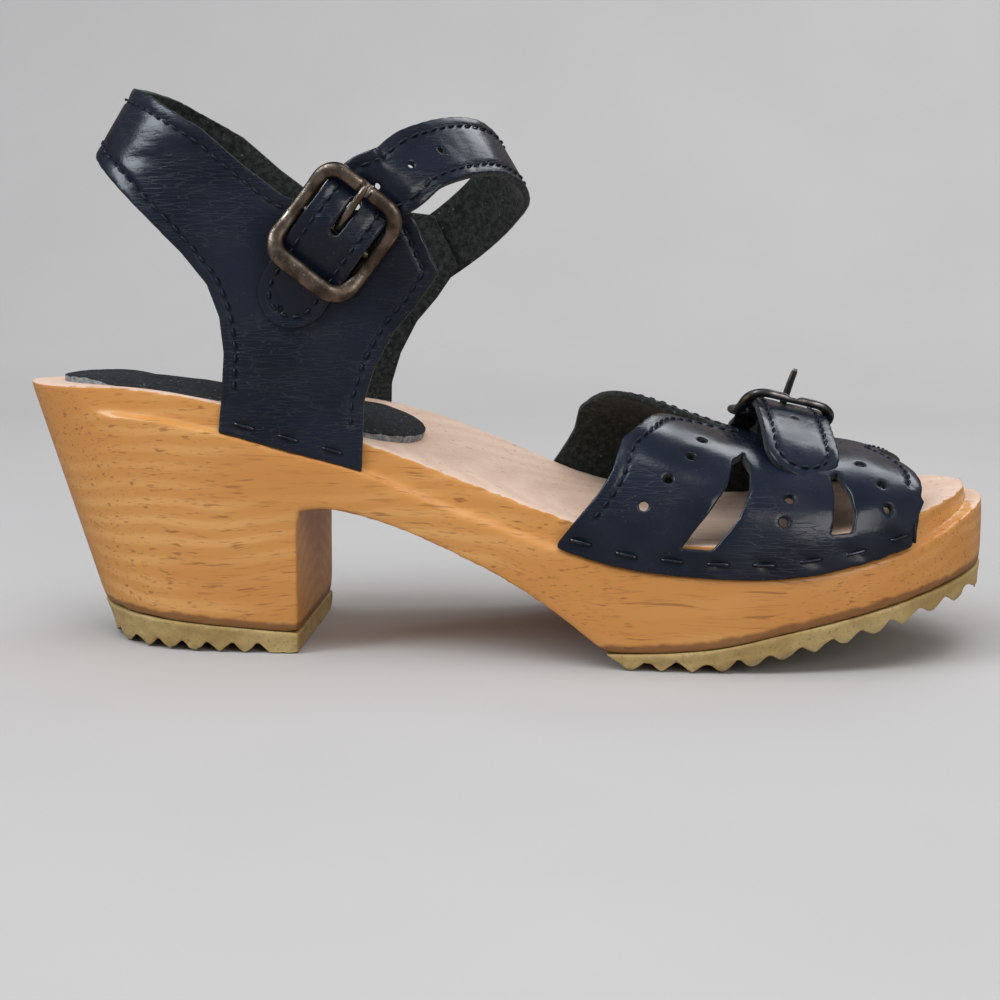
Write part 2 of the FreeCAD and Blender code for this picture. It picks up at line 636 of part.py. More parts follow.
def vamp_side(side):
    """Gives the y of the outermost leather at x and height z; the inner strap end adds to it."""
    def surface(x, z):
        low = along(VAMP, x, 3)
        rise = max(0.0, z - low) / (along(VAMP, x, 4) - low)
        c = math.sqrt(1 - rise ** VAMP_BOX)
        half = along(VAMP, x, 2 if side > 0 else 1) * c ** (2 / VAMP_BOX)
        if side > 0 and abs(x - INNER_RUN[-1][0]) < VAMP_STRAP_WIDTH / 2:
            half += STRAP_THICK
        return side * half
    return surface


def save(name, shape):
    """Writes a sub-part, moved so that the origin is below the middle of the clog."""
    shape.translate(V(0, -MIDDLE_Y, 0))
    shape.exportStep("parts/%s.step" % name)
    print("%-24s %3d solids %9.1f mm3 %s" % (name, len(shape.Solids), shape.Volume,
                                            "" if shape.isValid() else "INVALID"))


def main():
    os.makedirs("parts", exist_ok=True)
    body = last_body()
    foam, cover = heel_pad()
    strap = ankle_strap()
    sling = biggest(ankle_sling().cut(strap))
    upper = clear_of(vamp(), rocking_rim(INSTEP, VAMP_FRAME))
    save("wooden_sole", biggest(wooden_sole(body)))
    save("heel_rubber", biggest(heel_rubber(body)))
    save("forefoot_rubber", biggest(forefoot_rubber(body)))
    save("heel_pad_foam", biggest(foam))
    save("heel_pad_cover", biggest(cover))
    for side, word in ((-1, "outer"), (1, "inner")):
        save("vamp_staples_" + word, staple_row(VAMP_STAPLES, vamp_side(side), side))
        save("sling_staples_" + word, staple_row(SLING_STAPLES, sling_side(side), side))
    ankle_chape = biggest(ANKLE.turn(chape(11.0, -3.3, 0.3)).cut(sling))
    vamp_chape = biggest(INSTEP.turn(chape(9.0, -3.9, 4.0)).cut(arch(0, 0)))
    for name, place, width, loop, lift in (("ankle", ANKLE, ANKLE_FRAME, ankle_chape, 0.0),
                                           ("vamp", INSTEP, VAMP_FRAME, vamp_chape, PRONG_LIFT)):
        wire = tongue()
        wire.rotate(V(0, 0, 0), V(0, 1, 0), -lift)
        save(name + "_buckle_frame", place.turn(frame(width)))
        save(name + "_buckle_prong", place.turn(wire))
        save(name + "_buckle_chape", loop)
    save("vamp", upper)
    save("ankle_sling", sling)
    save("ankle_strap", strap)
    save("vamp_strap", vamp_strap())


main()
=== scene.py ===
# %% [markdown]
# # A heeled wooden clog sandal
# The clog is a one-piece wooden sole with ribbed rubber treads, a punched patent-leather vamp, and a
# sling with an ankle strap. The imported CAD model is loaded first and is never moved: it gives the
# places, the joints and the sizes, and everything below is laid over it in the same metres.

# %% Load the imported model
import json
import math
import random

import bmesh
import bpy
import numpy as np
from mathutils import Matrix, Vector
from mathutils.bvhtree import BVHTree
from mathutils.geometry import delaunay_2d_cdt
from mathutils import noise as turb
from mathutils.kdtree import KDTree


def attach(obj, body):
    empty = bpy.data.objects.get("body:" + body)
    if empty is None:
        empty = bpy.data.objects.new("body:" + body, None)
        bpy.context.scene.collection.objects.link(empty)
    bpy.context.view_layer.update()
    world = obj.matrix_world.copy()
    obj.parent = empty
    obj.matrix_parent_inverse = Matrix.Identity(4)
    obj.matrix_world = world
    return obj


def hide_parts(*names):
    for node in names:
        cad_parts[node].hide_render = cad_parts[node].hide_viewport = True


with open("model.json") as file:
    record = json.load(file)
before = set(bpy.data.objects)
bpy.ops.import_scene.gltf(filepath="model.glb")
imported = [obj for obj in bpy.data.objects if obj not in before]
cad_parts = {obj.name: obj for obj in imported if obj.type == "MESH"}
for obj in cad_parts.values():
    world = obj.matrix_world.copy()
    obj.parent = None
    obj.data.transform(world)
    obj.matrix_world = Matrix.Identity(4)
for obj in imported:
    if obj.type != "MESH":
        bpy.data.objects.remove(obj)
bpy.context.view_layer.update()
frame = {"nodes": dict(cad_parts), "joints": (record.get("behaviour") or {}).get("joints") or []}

MM = 0.001
nodes = frame["nodes"]
chance = random.Random(7)

# %% [markdown]
# ## Camera, floor and light
# The camera comes first, because every later decision about detail depends on how large a piece
# shows. A shoe this size is usually shot from its outer side, a little above the strap, with a
# moderately long lens so that the heel and the toe keep their proportions.

# %% Camera
CAMERA_PLACE = (0.0307, -0.4805, 0.1088)
CAMERA_DOWN = 8.68          # degrees below the horizon
CAMERA_TURN = 3.69          # degrees to the left of straight ahead
LENS = 66.1                 # mm on a 36 mm sensor

camera_data = bpy.data.cameras.new("camera")
camera_data.lens = LENS
camera_data.sensor_width = 36
camera_data.clip_start = 0.01
camera = bpy.data.objects.new("camera", camera_data)
camera.location = CAMERA_PLACE
camera.rotation_euler = (math.radians(90 - CAMERA_DOWN), 0, math.radians(CAMERA_TURN))
bpy.context.scene.collection.objects.link(camera)
bpy.context.scene.camera = camera
print("camera at", CAMERA_PLACE, "looking", CAMERA_DOWN, "degrees down")

# %% [markdown]
# Patent leather and varnish show their lamps as much as their own colour, so the light is a few
# large soft panels: a broad one overhead, a cooler one like a window at the back left, and weak
# fills. The floor sweeps up into the backdrop in one curve, which leaves no horizon line. The paper
# and the world look darker in reflections than they light the clog, so that gloss stays deep.

# %% Helpers for shader nodes
def put(tree, kind, settings=None, **sockets):
    """Adds a shader node; each socket gets a plain value or another node's output."""
    node = tree.nodes.new(kind)
    for key, value in (settings or {}).items():
        setattr(node, key, value)
    for name, value in sockets.items():
        connect(tree, value, node.inputs[name.replace("_", " ")])
    return node


def connect(tree, value, socket):
    """Links an output to a socket, or sets the socket's own value."""
    if isinstance(value, bpy.types.NodeSocket):
        tree.links.new(value, socket)
    else:
        socket.default_value = value


def calc(tree, operation, first, second=0.5, third=0.5, clamp=False):
    """One Math node; returns its output."""
    node = put(tree, "ShaderNodeMath", {"operation": operation, "use_clamp": clamp})
    for socket, value in zip(node.inputs, (first, second, third)):
        connect(tree, value, socket)
    return node.outputs[0]


def blend_colours(tree, factor, first, second, mode="MIX"):
    """Mixes two colours; returns the output."""
    node = put(tree, "ShaderNodeMix", {"data_type": "RGBA", "blend_type": mode})
    connect(tree, factor, node.inputs[0])
    for socket, value in ((node.inputs[6], first), (node.inputs[7], second)):
        connect(tree, (*value, 1.0) if isinstance(value, tuple) else value, socket)
    return node.outputs[2]


def remap(tree, value, low, high, to_low=0.0, to_high=1.0, smooth=True):
    """Maps a range of values onto another, clamped."""
    kind = "SMOOTHSTEP" if smooth else "LINEAR"
    node = put(tree, "ShaderNodeMapRange", {"interpolation_type": kind})
    for socket, number in zip(node.inputs, (value, low, high, to_low, to_high)):
        connect(tree, number, socket)
    return node.outputs[0]


def new_material(name):
    """A material with an empty tree, its Principled shader and its coordinates in metres."""
    material = bpy.data.materials.new(name)
    material.use_nodes = True
    tree = material.node_tree
    tree.nodes.clear()
    output = tree.nodes.new("ShaderNodeOutputMaterial")
    shader = tree.nodes.new("ShaderNodeBsdfPrincipled")
    tree.links.new(shader.outputs[0], output.inputs[0])
    place = put(tree, "ShaderNodeTexCoord").outputs["Object"]
    return material, tree, shader, place


def bump(tree, height, strength, distance):
    """A Bump node fed by a height; distance is in metres."""
    return put(tree, "ShaderNodeBump", Height=height, Strength=strength,
               Distance=distance).outputs["Normal"]


print("shader helpers are ready")


# %% Backdrop
BACKDROP_BACK = 1.1
BACKDROP_FRONT = -1.6
BACKDROP_TOP = 2.2
BACKDROP_SIDE = 2.2         # half the width
SWEEP_RADIUS = 0.55
SWEEP_STEPS = 24


def make_backdrop():
    """A floor that bends up into a wall, as one strip of faces."""
    profile = [(BACKDROP_FRONT, 0.0), (BACKDROP_BACK - SWEEP_RADIUS, 0.0)]
    for step in range(1, SWEEP_STEPS + 1):
        angle = math.pi / 2 * step / SWEEP_STEPS
        profile.append((BACKDROP_BACK - SWEEP_RADIUS + SWEEP_RADIUS * math.sin(angle),
                        SWEEP_RADIUS * (1 - math.cos(angle))))
    profile.append((BACKDROP_BACK, BACKDROP_TOP))
    verts = [(x, y, z) for y, z in profile for x in (-BACKDROP_SIDE, BACKDROP_SIDE)]
    faces = [(2 * i, 2 * i + 1, 2 * i + 3, 2 * i + 2) for i in range(len(profile) - 1)]
    mesh = bpy.data.meshes.new("backdrop")
    mesh.from_pydata(verts, [], faces)
    mesh.polygons.foreach_set("use_smooth", [True] * len(faces))
    floor = bpy.data.objects.new("backdrop", mesh)
    bpy.context.scene.collection.objects.link(floor)
    material, tree, shader, place = new_material("pale paper")
    cloud = put(tree, "ShaderNodeTexNoise", Vector=place, Scale=9.0, Detail=3.0).outputs["Fac"]
    paper = blend_colours(tree, cloud, (0.475, 0.465, 0.46), (0.525, 0.515, 0.51))
    mirrored = put(tree, "ShaderNodeLightPath").outputs["Is Glossy Ray"]
    paper = blend_colours(tree, mirrored, paper, (0.125, 0.10, 0.085))
    connect(tree, paper, shader.inputs["Base Color"])
    shader.inputs["Roughness"].default_value = 0.75
    mesh.materials.append(material)


make_backdrop()
print("backdrop:", BACKDROP_BACK - BACKDROP_FRONT, "m deep")


# %% Lamps and world
def make_panel(name, place, aim, size, power, colour):
    """A soft rectangular lamp aimed at a point."""
    data = bpy.data.lights.new(name, "AREA")
    data.shape = "RECTANGLE"
    data.size, data.size_y = size
    data.energy = power
    data.color = colour
    lamp = bpy.data.objects.new(name, data)
    lamp.location = place
    lamp.rotation_euler = (Vector(aim) - Vector(place)).to_track_quat("-Z", "Y").to_euler()
    bpy.context.scene.collection.objects.link(lamp)
    return lamp


ceiling = make_panel("ceiling", (0.1, -0.2, 1.5), (0, 0, 0), (1.9, 1.5), 17.5, (1.0, 0.99, 0.98))
ceiling.visible_glossy = False
make_panel("tube", (-0.05, -0.45, 1.2), (0, 0, 0.06), (0.55, 0.22), 0.8, (0.92, 0.97, 1.0))
make_panel("window", (-0.95, -0.55, 0.95), (0, 0, 0.06), (0.55, 0.8), 9, (0.86, 0.93, 1.0))
make_panel("front fill", (0.9, -1.3, 0.7), (0, 0, 0.05), (0.9, 0.9), 6, (1.0, 0.97, 0.94))
make_panel("rim", (0.5, 0.9, 0.9), (0, 0, 0.08), (0.7, 0.4), 2.4, (0.90, 0.95, 1.0))
world = bpy.data.worlds.new("room")
world.use_nodes = True
sky = world.node_tree.nodes["Background"]
sky.inputs[0].default_value = (0.80, 0.82, 0.86, 1)
in_mirror = put(world.node_tree, "ShaderNodeLightPath").outputs["Is Glossy Ray"]
connect(world.node_tree, remap(world.node_tree, in_mirror, 0.0, 1.0, 0.38, 0.15), sky.inputs[1])
bpy.context.scene.world = world
bpy.context.scene.view_settings.view_transform = "Standard"

# %% [markdown]
# ## Materials
# Pale dust and lint lie on every dark surface of a worn shoe, so they are one node group that
# several materials share. The figure of the wood and the crazing of old patent leather could sit in
# their materials, but as groups they can be tried and judged on their own. Each group puts out only
# masks and heights; the colours are chosen by the material that uses it.

# %% Helpers for node groups
def new_group(name, inputs, outputs):
    """A node group with named sockets; gives its tree, its input node and its output node."""
    tree = bpy.data.node_groups.new(name, "ShaderNodeTree")
    for label, kind, value in inputs:
        socket = tree.interface.new_socket(label, in_out="INPUT", socket_type="NodeSocket" + kind)
        if value is not None:
            socket.default_value = value
    for label, kind in outputs:
        tree.interface.new_socket(label, in_out="OUTPUT", socket_type="NodeSocket" + kind)
    return tree, tree.nodes.new("NodeGroupInput"), tree.nodes.new("NodeGroupOutput")


def use_group(tree, group, **sockets):
    node = tree.nodes.new("ShaderNodeGroup")
    node.node_tree = group
    for name, value in sockets.items():
        connect(tree, value, node.inputs[name.replace("_", " ")])
    return node


def stretched(tree, place, scale, turn=(0.0, 0.0, 0.0)):
    """Coordinates scaled and turned, so that a noise becomes streaks."""
    node = put(tree, "ShaderNodeMapping", Vector=place)
    node.inputs["Scale"].default_value = scale
    node.inputs["Rotation"].default_value = turn
    return node.outputs[0]


def noise(tree, place, scale, detail=3.0, roughness=0.5):
    return put(tree, "ShaderNodeTexNoise", Vector=place, Scale=scale, Detail=detail,
               Roughness=roughness).outputs["Fac"]


print("group helpers are ready")


# %% Figure of the wood
def make_wood_figure():
    """Growth bands, fine pores and darker flecks of a light hardwood cut along its length."""
    tree, given, result = new_group("wood figure", [("Place", "Vector", None)],
                                    [("Bands", "Float"), ("Pores", "Float"), ("Flecks", "Float")])
    place = given.outputs["Place"]
    wander = put(tree, "ShaderNodeTexNoise", Vector=place, Scale=14.0, Detail=2.0).outputs["Color"]
    drift = put(tree, "ShaderNodeVectorMath", {"operation": "MULTIPLY_ADD"})
    connect(tree, wander, drift.inputs[0])
    drift.inputs[1].default_value = (0.03, 0.012, 0.014)
    connect(tree, place, drift.inputs[2])
    bent = drift.outputs[0]
    wave = put(tree, "ShaderNodeTexWave", {"wave_type": "RINGS", "rings_direction": "X"},
               Vector=stretched(tree, bent, (0.35, 1.0, 1.25), (0.0, 0.22, 0.1)), Scale=62.0,
               Distortion=3.2, Detail=2.0)
    bands = remap(tree, wave.outputs["Fac"], 0.15, 0.95)
    pores = remap(tree, noise(tree, stretched(tree, bent, (95, 1500, 1500), (0, 0.16, 0)), 1.0),
                  0.55, 0.70)
    flecks = remap(tree, noise(tree, stretched(tree, bent, (60, 1050, 1050), (0, 0.20, 0)), 1.0, 2.0),
                   0.61, 0.70)
    connect(tree, bands, result.inputs["Bands"])
    connect(tree, pores, result.inputs["Pores"])
    connect(tree, flecks, result.inputs["Flecks"])
    return tree


WOOD_FIGURE = make_wood_figure()
print("node group:", WOOD_FIGURE.name)


# %% Dust and lint
def make_dust():
    """Sparse pale specks and short lint, as a mask."""
    tree, given, result = new_group("dust", [("Place", "Vector", None), ("Amount", "Float", 0.5)],
                                    [("Mask", "Float")])
    place, amount = given.outputs["Place"], given.outputs["Amount"]
    specks = put(tree, "ShaderNodeTexVoronoi", {"feature": "F1"}, Vector=place,
                 Scale=520.0).outputs["Distance"]
    dots = remap(tree, specks, 0.19, 0.09)
    patches = remap(tree, noise(tree, place, 150.0), 0.45, 0.66)
    lint = remap(tree, noise(tree, stretched(tree, place, (2600, 600, 1300)), 1.0), 0.68, 0.76)
    both = calc(tree, "MAXIMUM", calc(tree, "MULTIPLY", dots, patches), lint)
    connect(tree, calc(tree, "MULTIPLY", both, amount), result.inputs["Mask"])
    return tree


DUST = make_dust()
print("node group:", DUST.name)


# %% Crazing
def make_crazing():
    """Fine cracks and soft wrinkles of an ageing gloss film: a height and a mask of cracks."""
    tree, given, result = new_group("crazing", [("Place", "Vector", None)],
                                    [("Height", "Float"), ("Cracks", "Float")])
    place = given.outputs["Place"]
    lines = put(tree, "ShaderNodeTexVoronoi", {"feature": "DISTANCE_TO_EDGE"},
                Vector=stretched(tree, place, (130, 130, 1150)), Scale=1.0).outputs["Distance"]
    where = remap(tree, noise(tree, stretched(tree, place, (26, 26, 50)), 1.0, 2.0), 0.44, 0.62)
    cracks = calc(tree, "MULTIPLY", remap(tree, lines, 0.06, 0.0), where)
    wrinkles = noise(tree, stretched(tree, place, (110, 110, 420)), 1.0, 4.0)
    fine = noise(tree, place, 1100.0, 2.0)
    height = calc(tree, "MULTIPLY_ADD", wrinkles, 0.50, calc(tree, "MULTIPLY", fine, 0.12))
    connect(tree, calc(tree, "SUBTRACT", height, calc(tree, "MULTIPLY", cracks, 0.12)),
            result.inputs["Height"])
    connect(tree, cracks, result.inputs["Cracks"])
    return tree


CRAZING = make_crazing()
print("node groups:", [g.name for g in bpy.data.node_groups])

# %% [markdown]
# The sole is a light hardwood under a honey-coloured varnish, sanded bare where the foot stands. Two
# materials with a hard border would be simpler, but the real border is rubbed and soft, so one
# material blends both by a number that the sole stores at each vertex. A second number, the height
# above the rubber, darkens the wood where glue and dirt have crept up.

# %% Varnished and bare wood
MATERIALS = {}


def make_wood():
    """Honey-orange varnished wood that is bare and paler where the sole says so."""
    material, tree, shader, place = new_material("clog wood")
    figure = use_group(tree, WOOD_FIGURE, Place=place)
    bands, pores, flecks = (figure.outputs[n] for n in ("Bands", "Pores", "Flecks"))
    cloud = noise(tree, stretched(tree, place, (14, 30, 40)), 1.0, 2.0)
    base = blend_colours(tree, bands, (0.655, 0.300, 0.078), (0.74, 0.375, 0.118))
    base = blend_colours(tree, remap(tree, cloud, 0.35, 0.7), base, (0.62, 0.262, 0.062))
    base = blend_colours(tree, calc(tree, "MULTIPLY", pores, 0.34), base, (0.34, 0.125, 0.033))
    base = blend_colours(tree, calc(tree, "MULTIPLY", flecks, 0.55), base, (0.22, 0.075, 0.020))
    seam = put(tree, "ShaderNodeAttribute", {"attribute_name": "above_rubber"}).outputs["Fac"]
    ragged = calc(tree, "MULTIPLY_ADD", noise(tree, place, 260.0), 1.6, seam)
    stain = remap(tree, ragged, 3.7, 2.5, 0.0, 0.80)
    base = blend_colours(tree, stain, base, (0.175, 0.072, 0.026))
    pale = blend_colours(tree, bands, (0.69, 0.49, 0.375), (0.73, 0.535, 0.42))
    pale = blend_colours(tree, calc(tree, "MULTIPLY", pores, 0.35), pale, (0.40, 0.24, 0.15))
    specks = remap(tree, noise(tree, stretched(tree, place, (260, 900, 900)), 1.0, 2.0), 0.66, 0.74)
    pale = blend_colours(tree, calc(tree, "MULTIPLY", specks, 0.7), pale, (0.16, 0.085, 0.05))
    bare = put(tree, "ShaderNodeAttribute", {"attribute_name": "bare"}).outputs["Fac"]
    bare = remap(tree, bare, 0.35, 0.65)
    connect(tree, blend_colours(tree, bare, base, pale), shader.inputs["Base Color"])
    rough = calc(tree, "MULTIPLY_ADD", noise(tree, place, 120.0), 0.16, 0.27)
    connect(tree, calc(tree, "MULTIPLY_ADD", bare, 0.30, rough), shader.inputs["Roughness"])
    connect(tree, remap(tree, bare, 0.0, 1.0, 0.35, 0.0), shader.inputs["Coat Weight"])
    shader.inputs["Coat Roughness"].default_value = 0.20
    height = calc(tree, "SUBTRACT", calc(tree, "MULTIPLY", noise(tree, place, 160.0), 0.5),
                  calc(tree, "MULTIPLY", pores, 0.5))
    connect(tree, bump(tree, height, 0.22, 0.0003), shader.inputs["Normal"])
    return material


MATERIALS["wood"] = make_wood()
print("materials:", sorted(MATERIALS))

# %% [markdown]
# The treads are a crepe-like rubber that has yellowed. It is matt, so nearly all of its character is
# in the grain: a coarse and a fine noise, in the colour as well as in the bump.

# %% Tread rubber
def make_rubber():
    """Yellowish crepe-like rubber, matt, and darker over the lowest 3 mm of the tread."""
    material, tree, shader, place = new_material("tread rubber")
    cloud = noise(tree, place, 70.0, 4.0)
    grain = noise(tree, place, 1100.0, 3.0, 0.6)
    base = blend_colours(tree, remap(tree, cloud, 0.35, 0.65), (0.37, 0.245, 0.085), (0.50, 0.365, 0.155))
    base = blend_colours(tree, remap(tree, grain, 0.56, 0.72, 0.0, 0.6), base, (0.17, 0.105, 0.040))
    low = put(tree, "ShaderNodeAttribute", {"attribute_name": "near_floor"}).outputs["Fac"]
    # The lowest 3 mm of the tread is blended halfway towards a darker grey-brown.
    base = blend_colours(tree, calc(tree, "MULTIPLY", low, 0.5), base, (0.22, 0.17, 0.11))
    connect(tree, base, shader.inputs["Base Color"])
    shader.inputs["Roughness"].default_value = 0.78
    height = calc(tree, "ADD", grain, calc(tree, "MULTIPLY", noise(tree, place, 380.0), 1.2))
    connect(tree, bump(tree, height, 0.55, 0.0003), shader.inputs["Normal"])
    return material


MATERIALS["rubber"] = make_rubber()
print("materials:", sorted(MATERIALS))

# %% [markdown]
# The flesh side of the leather, the worn suede of the heel pad and the foam under it are all short
# fibres on a matt ground. They differ only in colour, fluff and sheen, so one function makes them.

# %% Suede and foam
def make_fibrous(name, dark, light, fleck, amount, sheen):
    """Suede or felted leather: a soft nap with pale flecks."""
    material, tree, shader, place = new_material(name)
    nap = noise(tree, place, 700.0, 4.0, 0.65)
    base = blend_colours(tree, remap(tree, nap, 0.35, 0.68), dark, light)
    dust = use_group(tree, DUST, Place=place, Amount=amount).outputs["Mask"]
    base = blend_colours(tree, dust, base, fleck)
    connect(tree, base, shader.inputs["Base Color"])
    shader.inputs["Roughness"].default_value = 0.92
    shader.inputs["Sheen Weight"].default_value = sheen
    shader.inputs["Specular IOR Level"].default_value = 0.25
    shader.inputs["Sheen Roughness"].default_value = 0.5
    height = calc(tree, "ADD", nap, noise(tree, place, 1900.0, 2.0))
    connect(tree, bump(tree, height, 0.7, 0.0003), shader.inputs["Normal"])
    return material


MATERIALS["pad"] = make_fibrous("pad suede", (0.007, 0.008, 0.010), (0.026, 0.028, 0.032),
                                (0.34, 0.34, 0.35), 0.85, 0.03)
MATERIALS["foam"] = make_fibrous("pad foam", (0.13, 0.13, 0.135), (0.30, 0.30, 0.30),
                                 (0.7, 0.7, 0.7), 0.3, 0.1)
MATERIALS["suede"] = make_fibrous("suede flesh side", (0.009, 0.012, 0.011), (0.036, 0.043, 0.039),
                                  (0.26, 0.28, 0.27), 0.45, 0.10)
print("materials:", sorted(MATERIALS))

# %% [markdown]
# Patent leather is a coloured film over leather. A plain glossy shader would mirror the lamps as
# clean shapes, while an old film has soft wrinkles, fine cracks and smeared places, so its height and
# its roughness both vary.

# %% Patent leather
def make_patent():
    """Navy gloss film over leather: sharp reflections broken by wrinkles and fine cracks."""
    material, tree, shader, place = new_material("patent leather")
    craze = use_group(tree, CRAZING, Place=place)
    height, cracks = craze.outputs["Height"], craze.outputs["Cracks"]
    cloud = remap(tree, noise(tree, place, 45.0, 3.0), 0.35, 0.68)
    base = blend_colours(tree, cloud, (0.0055, 0.0090, 0.0195), (0.0120, 0.0170, 0.0310))
    base = blend_colours(tree, calc(tree, "MULTIPLY", cracks, 0.12), base, (0.045, 0.040, 0.042))
    dust = use_group(tree, DUST, Place=place, Amount=0.12).outputs["Mask"]
    base = blend_colours(tree, dust, base, (0.16, 0.18, 0.21))
    connect(tree, base, shader.inputs["Base Color"])
    smear = remap(tree, noise(tree, place, 75.0, 3.0), 0.35, 0.7, 0.20, 0.36)
    rough = calc(tree, "ADD", smear, calc(tree, "MULTIPLY", calc(tree, "MAXIMUM", dust, cracks), 0.35))
    connect(tree, rough, shader.inputs["Roughness"])
    shader.inputs["IOR"].default_value = 1.52
    shader.inputs["Coat Weight"].default_value = 0.18
    shader.inputs["Coat Roughness"].default_value = 0.16
    normal = bump(tree, height, 0.38, 0.0006)
    connect(tree, normal, shader.inputs["Normal"])
    connect(tree, normal, shader.inputs["Coat Normal"])
    return material


MATERIALS["patent"] = make_patent()
print("materials:", sorted(MATERIALS))

# %% [markdown]
# The buckles are cast metal with a dark patina. Pointiness finds the high places, where handling has
# rubbed the patina off. The staples and the thread are small, so a simple finish is enough for them.

# %% Metal and thread
def make_metal(name, dark, bright, tarnish, roughness):
    """Cast metal with a dark patina that is rubbed bright on its high places."""
    material, tree, shader, place = new_material(name)
    cloud = remap(tree, noise(tree, place, 210.0, 4.0), 0.38, 0.66)
    rubbed = remap(tree, put(tree, "ShaderNodeNewGeometry").outputs["Pointiness"], 0.49, 0.56)
    base = blend_colours(tree, cloud, dark, bright)
    base = blend_colours(tree, calc(tree, "MULTIPLY", rubbed, 0.5), base, bright)
    pits = remap(tree, noise(tree, place, 1300.0, 3.0), 0.60, 0.74)
    base = blend_colours(tree, calc(tree, "MULTIPLY", pits, 0.6), base, tarnish)
    connect(tree, base, shader.inputs["Base Color"])
    shader.inputs["Metallic"].default_value = 1.0
    connect(tree, calc(tree, "MULTIPLY_ADD", cloud, -0.12, roughness), shader.inputs["Roughness"])
    height = calc(tree, "SUBTRACT", noise(tree, place, 420.0, 3.0), pits)
    connect(tree, bump(tree, height, 0.35, 0.0003), shader.inputs["Normal"])
    return material


def make_thread():
    material, tree, shader, place = new_material("waxed thread")
    twist = noise(tree, stretched(tree, place, (2600, 2600, 2600)), 1.0, 2.0)
    connect(tree, blend_colours(tree, twist, (0.003, 0.005, 0.012), (0.018, 0.024, 0.042)),
            shader.inputs["Base Color"])
    shader.inputs["Roughness"].default_value = 0.5
    connect(tree, bump(tree, twist, 0.6, 0.0002), shader.inputs["Normal"])
    return material


MATERIALS["bronze"] = make_metal("antique bronze", (0.15, 0.112, 0.086), (0.44, 0.355, 0.29),
                                 (0.05, 0.035, 0.03), 0.42)
MATERIALS["steel"] = make_metal("darkened steel", (0.13, 0.125, 0.125), (0.40, 0.39, 0.38),
                                (0.05, 0.04, 0.035), 0.40)
MATERIALS["staple"] = make_metal("staple wire", (0.045, 0.05, 0.065), (0.15, 0.16, 0.19),
                                 (0.02, 0.02, 0.03), 0.38)
MATERIALS["thread"] = make_thread()
print("materials:", sorted(MATERIALS))

# %% [markdown]
# ## Skins: a smooth surface with its own flat pattern
# Leather is cut flat and bent into place, so every leather piece here is made the same way. A
# `Skin` is a grid of points in space over a flat pattern, so that a place on the pattern gives a
# place and a direction in space, and a place in space can be found again on the pattern.

# %% The Skin class
class Skin:
    """A surface over a flat pattern; u and v are in millimetres along the surface."""

    def __init__(self, grid, u_start, v_start, u_step, v_step):
        self.grid = np.asarray(grid, float)
        self.start = np.array([u_start, v_start], float)
        self.step = np.array([u_step, v_step], float)
        along_u = np.gradient(self.grid, u_step, axis=0)
        along_v = np.gradient(self.grid, v_step, axis=1)
        normal = np.cross(along_u, along_v)
        self.normal = normal / np.maximum(np.linalg.norm(normal, axis=2, keepdims=True), 1e-9)
        self.along_u, self.along_v = along_u, along_v

    def lookup(self, field, uv):
        """Bilinear value of a field at pattern points."""
        place = (np.atleast_2d(uv) - self.start) / self.step
        last = np.array(self.grid.shape[:2]) - 1
        cell = np.clip(np.floor(place), 0, last - 1).astype(int)
        part = np.clip(place - cell, -1.5, 2.5)
        i, j = cell[:, 0], cell[:, 1]
        a, b = part[:, :1], part[:, 1:]
        return (field[i, j] * (1 - a) * (1 - b) + field[i + 1, j] * a * (1 - b)
                + field[i, j + 1] * (1 - a) * b + field[i + 1, j + 1] * a * b)

    def at(self, uv, height=0.0):
        """Points in space, lifted off the surface by height."""
        normal = self.lookup(self.normal, uv)
        normal /= np.linalg.norm(normal, axis=1, keepdims=True)
        return self.lookup(self.grid, uv) + normal * np.reshape(height, (-1, 1)), normal

    def find(self, points):
        """Pattern places of points in space that lie near the surface."""
        rows, columns = self.grid.shape[:2]
        tree = KDTree(rows * columns)
        for k, p in enumerate(self.grid.reshape(-1, 3)):
            tree.insert(p, k)
        tree.balance()
        found = []
        for p in points:
            i, j = divmod(tree.find(p)[1], columns)
            gap = p - self.grid[i, j]
            u, v = self.along_u[i, j], self.along_v[i, j]
            found.append(self.start + self.step * (i, j)
                         + (gap.dot(u) / u.dot(u), gap.dot(v) / v.dot(v)))
        return np.array(found)


print("the Skin class is ready")


# %% Lines on a pattern
def unit(vectors):
    """Vectors of length one."""
    return vectors / np.linalg.norm(vectors, axis=-1, keepdims=True)


def spread(points, spacing, closed=False):
    """Evenly spaced points along a polyline."""
    points = np.asarray(points, float)
    if closed:
        points = np.vstack([points, points[:1]])
    run = np.concatenate([[0], np.cumsum(np.linalg.norm(np.diff(points, axis=0), axis=1))])
    count = max(4, int(round(run[-1] / spacing)))
    stops = np.linspace(0, run[-1], count + 1)
    even = np.column_stack([np.interp(stops, run, column) for column in points.T])
    return even[:-1] if closed else even


def smooth_line(points, passes, closed=False):
    """Rounds the corners of a polyline, keeping open ends where they are."""
    points = np.asarray(points, float)
    for _ in range(passes):
        ahead, behind = np.roll(points, -1, 0), np.roll(points, 1, 0)
        moved = (ahead + behind + 2 * points) / 4
        if not closed:
            moved[0], moved[-1] = points[0], points[-1]
        points = moved
    return points


def inside(loops, points):
    """True for pattern points inside the first loop and outside the others."""
    kept = np.zeros(len(points), bool)
    for loop in loops:
        x0, y0 = loop.T
        x1, y1 = np.roll(loop, -1, 0).T
        for start in range(0, len(points), 4000):
            x, y = points[start:start + 4000].T[:, :, None]
            crosses = (y0 > y) != (y1 > y)
            with np.errstate(divide="ignore", invalid="ignore"):
                left = x < (x1 - x0) * (y - y0) / (y1 - y0) + x0
            kept[start:start + 4000] ^= (crosses & left).sum(1) % 2 == 1
    return kept


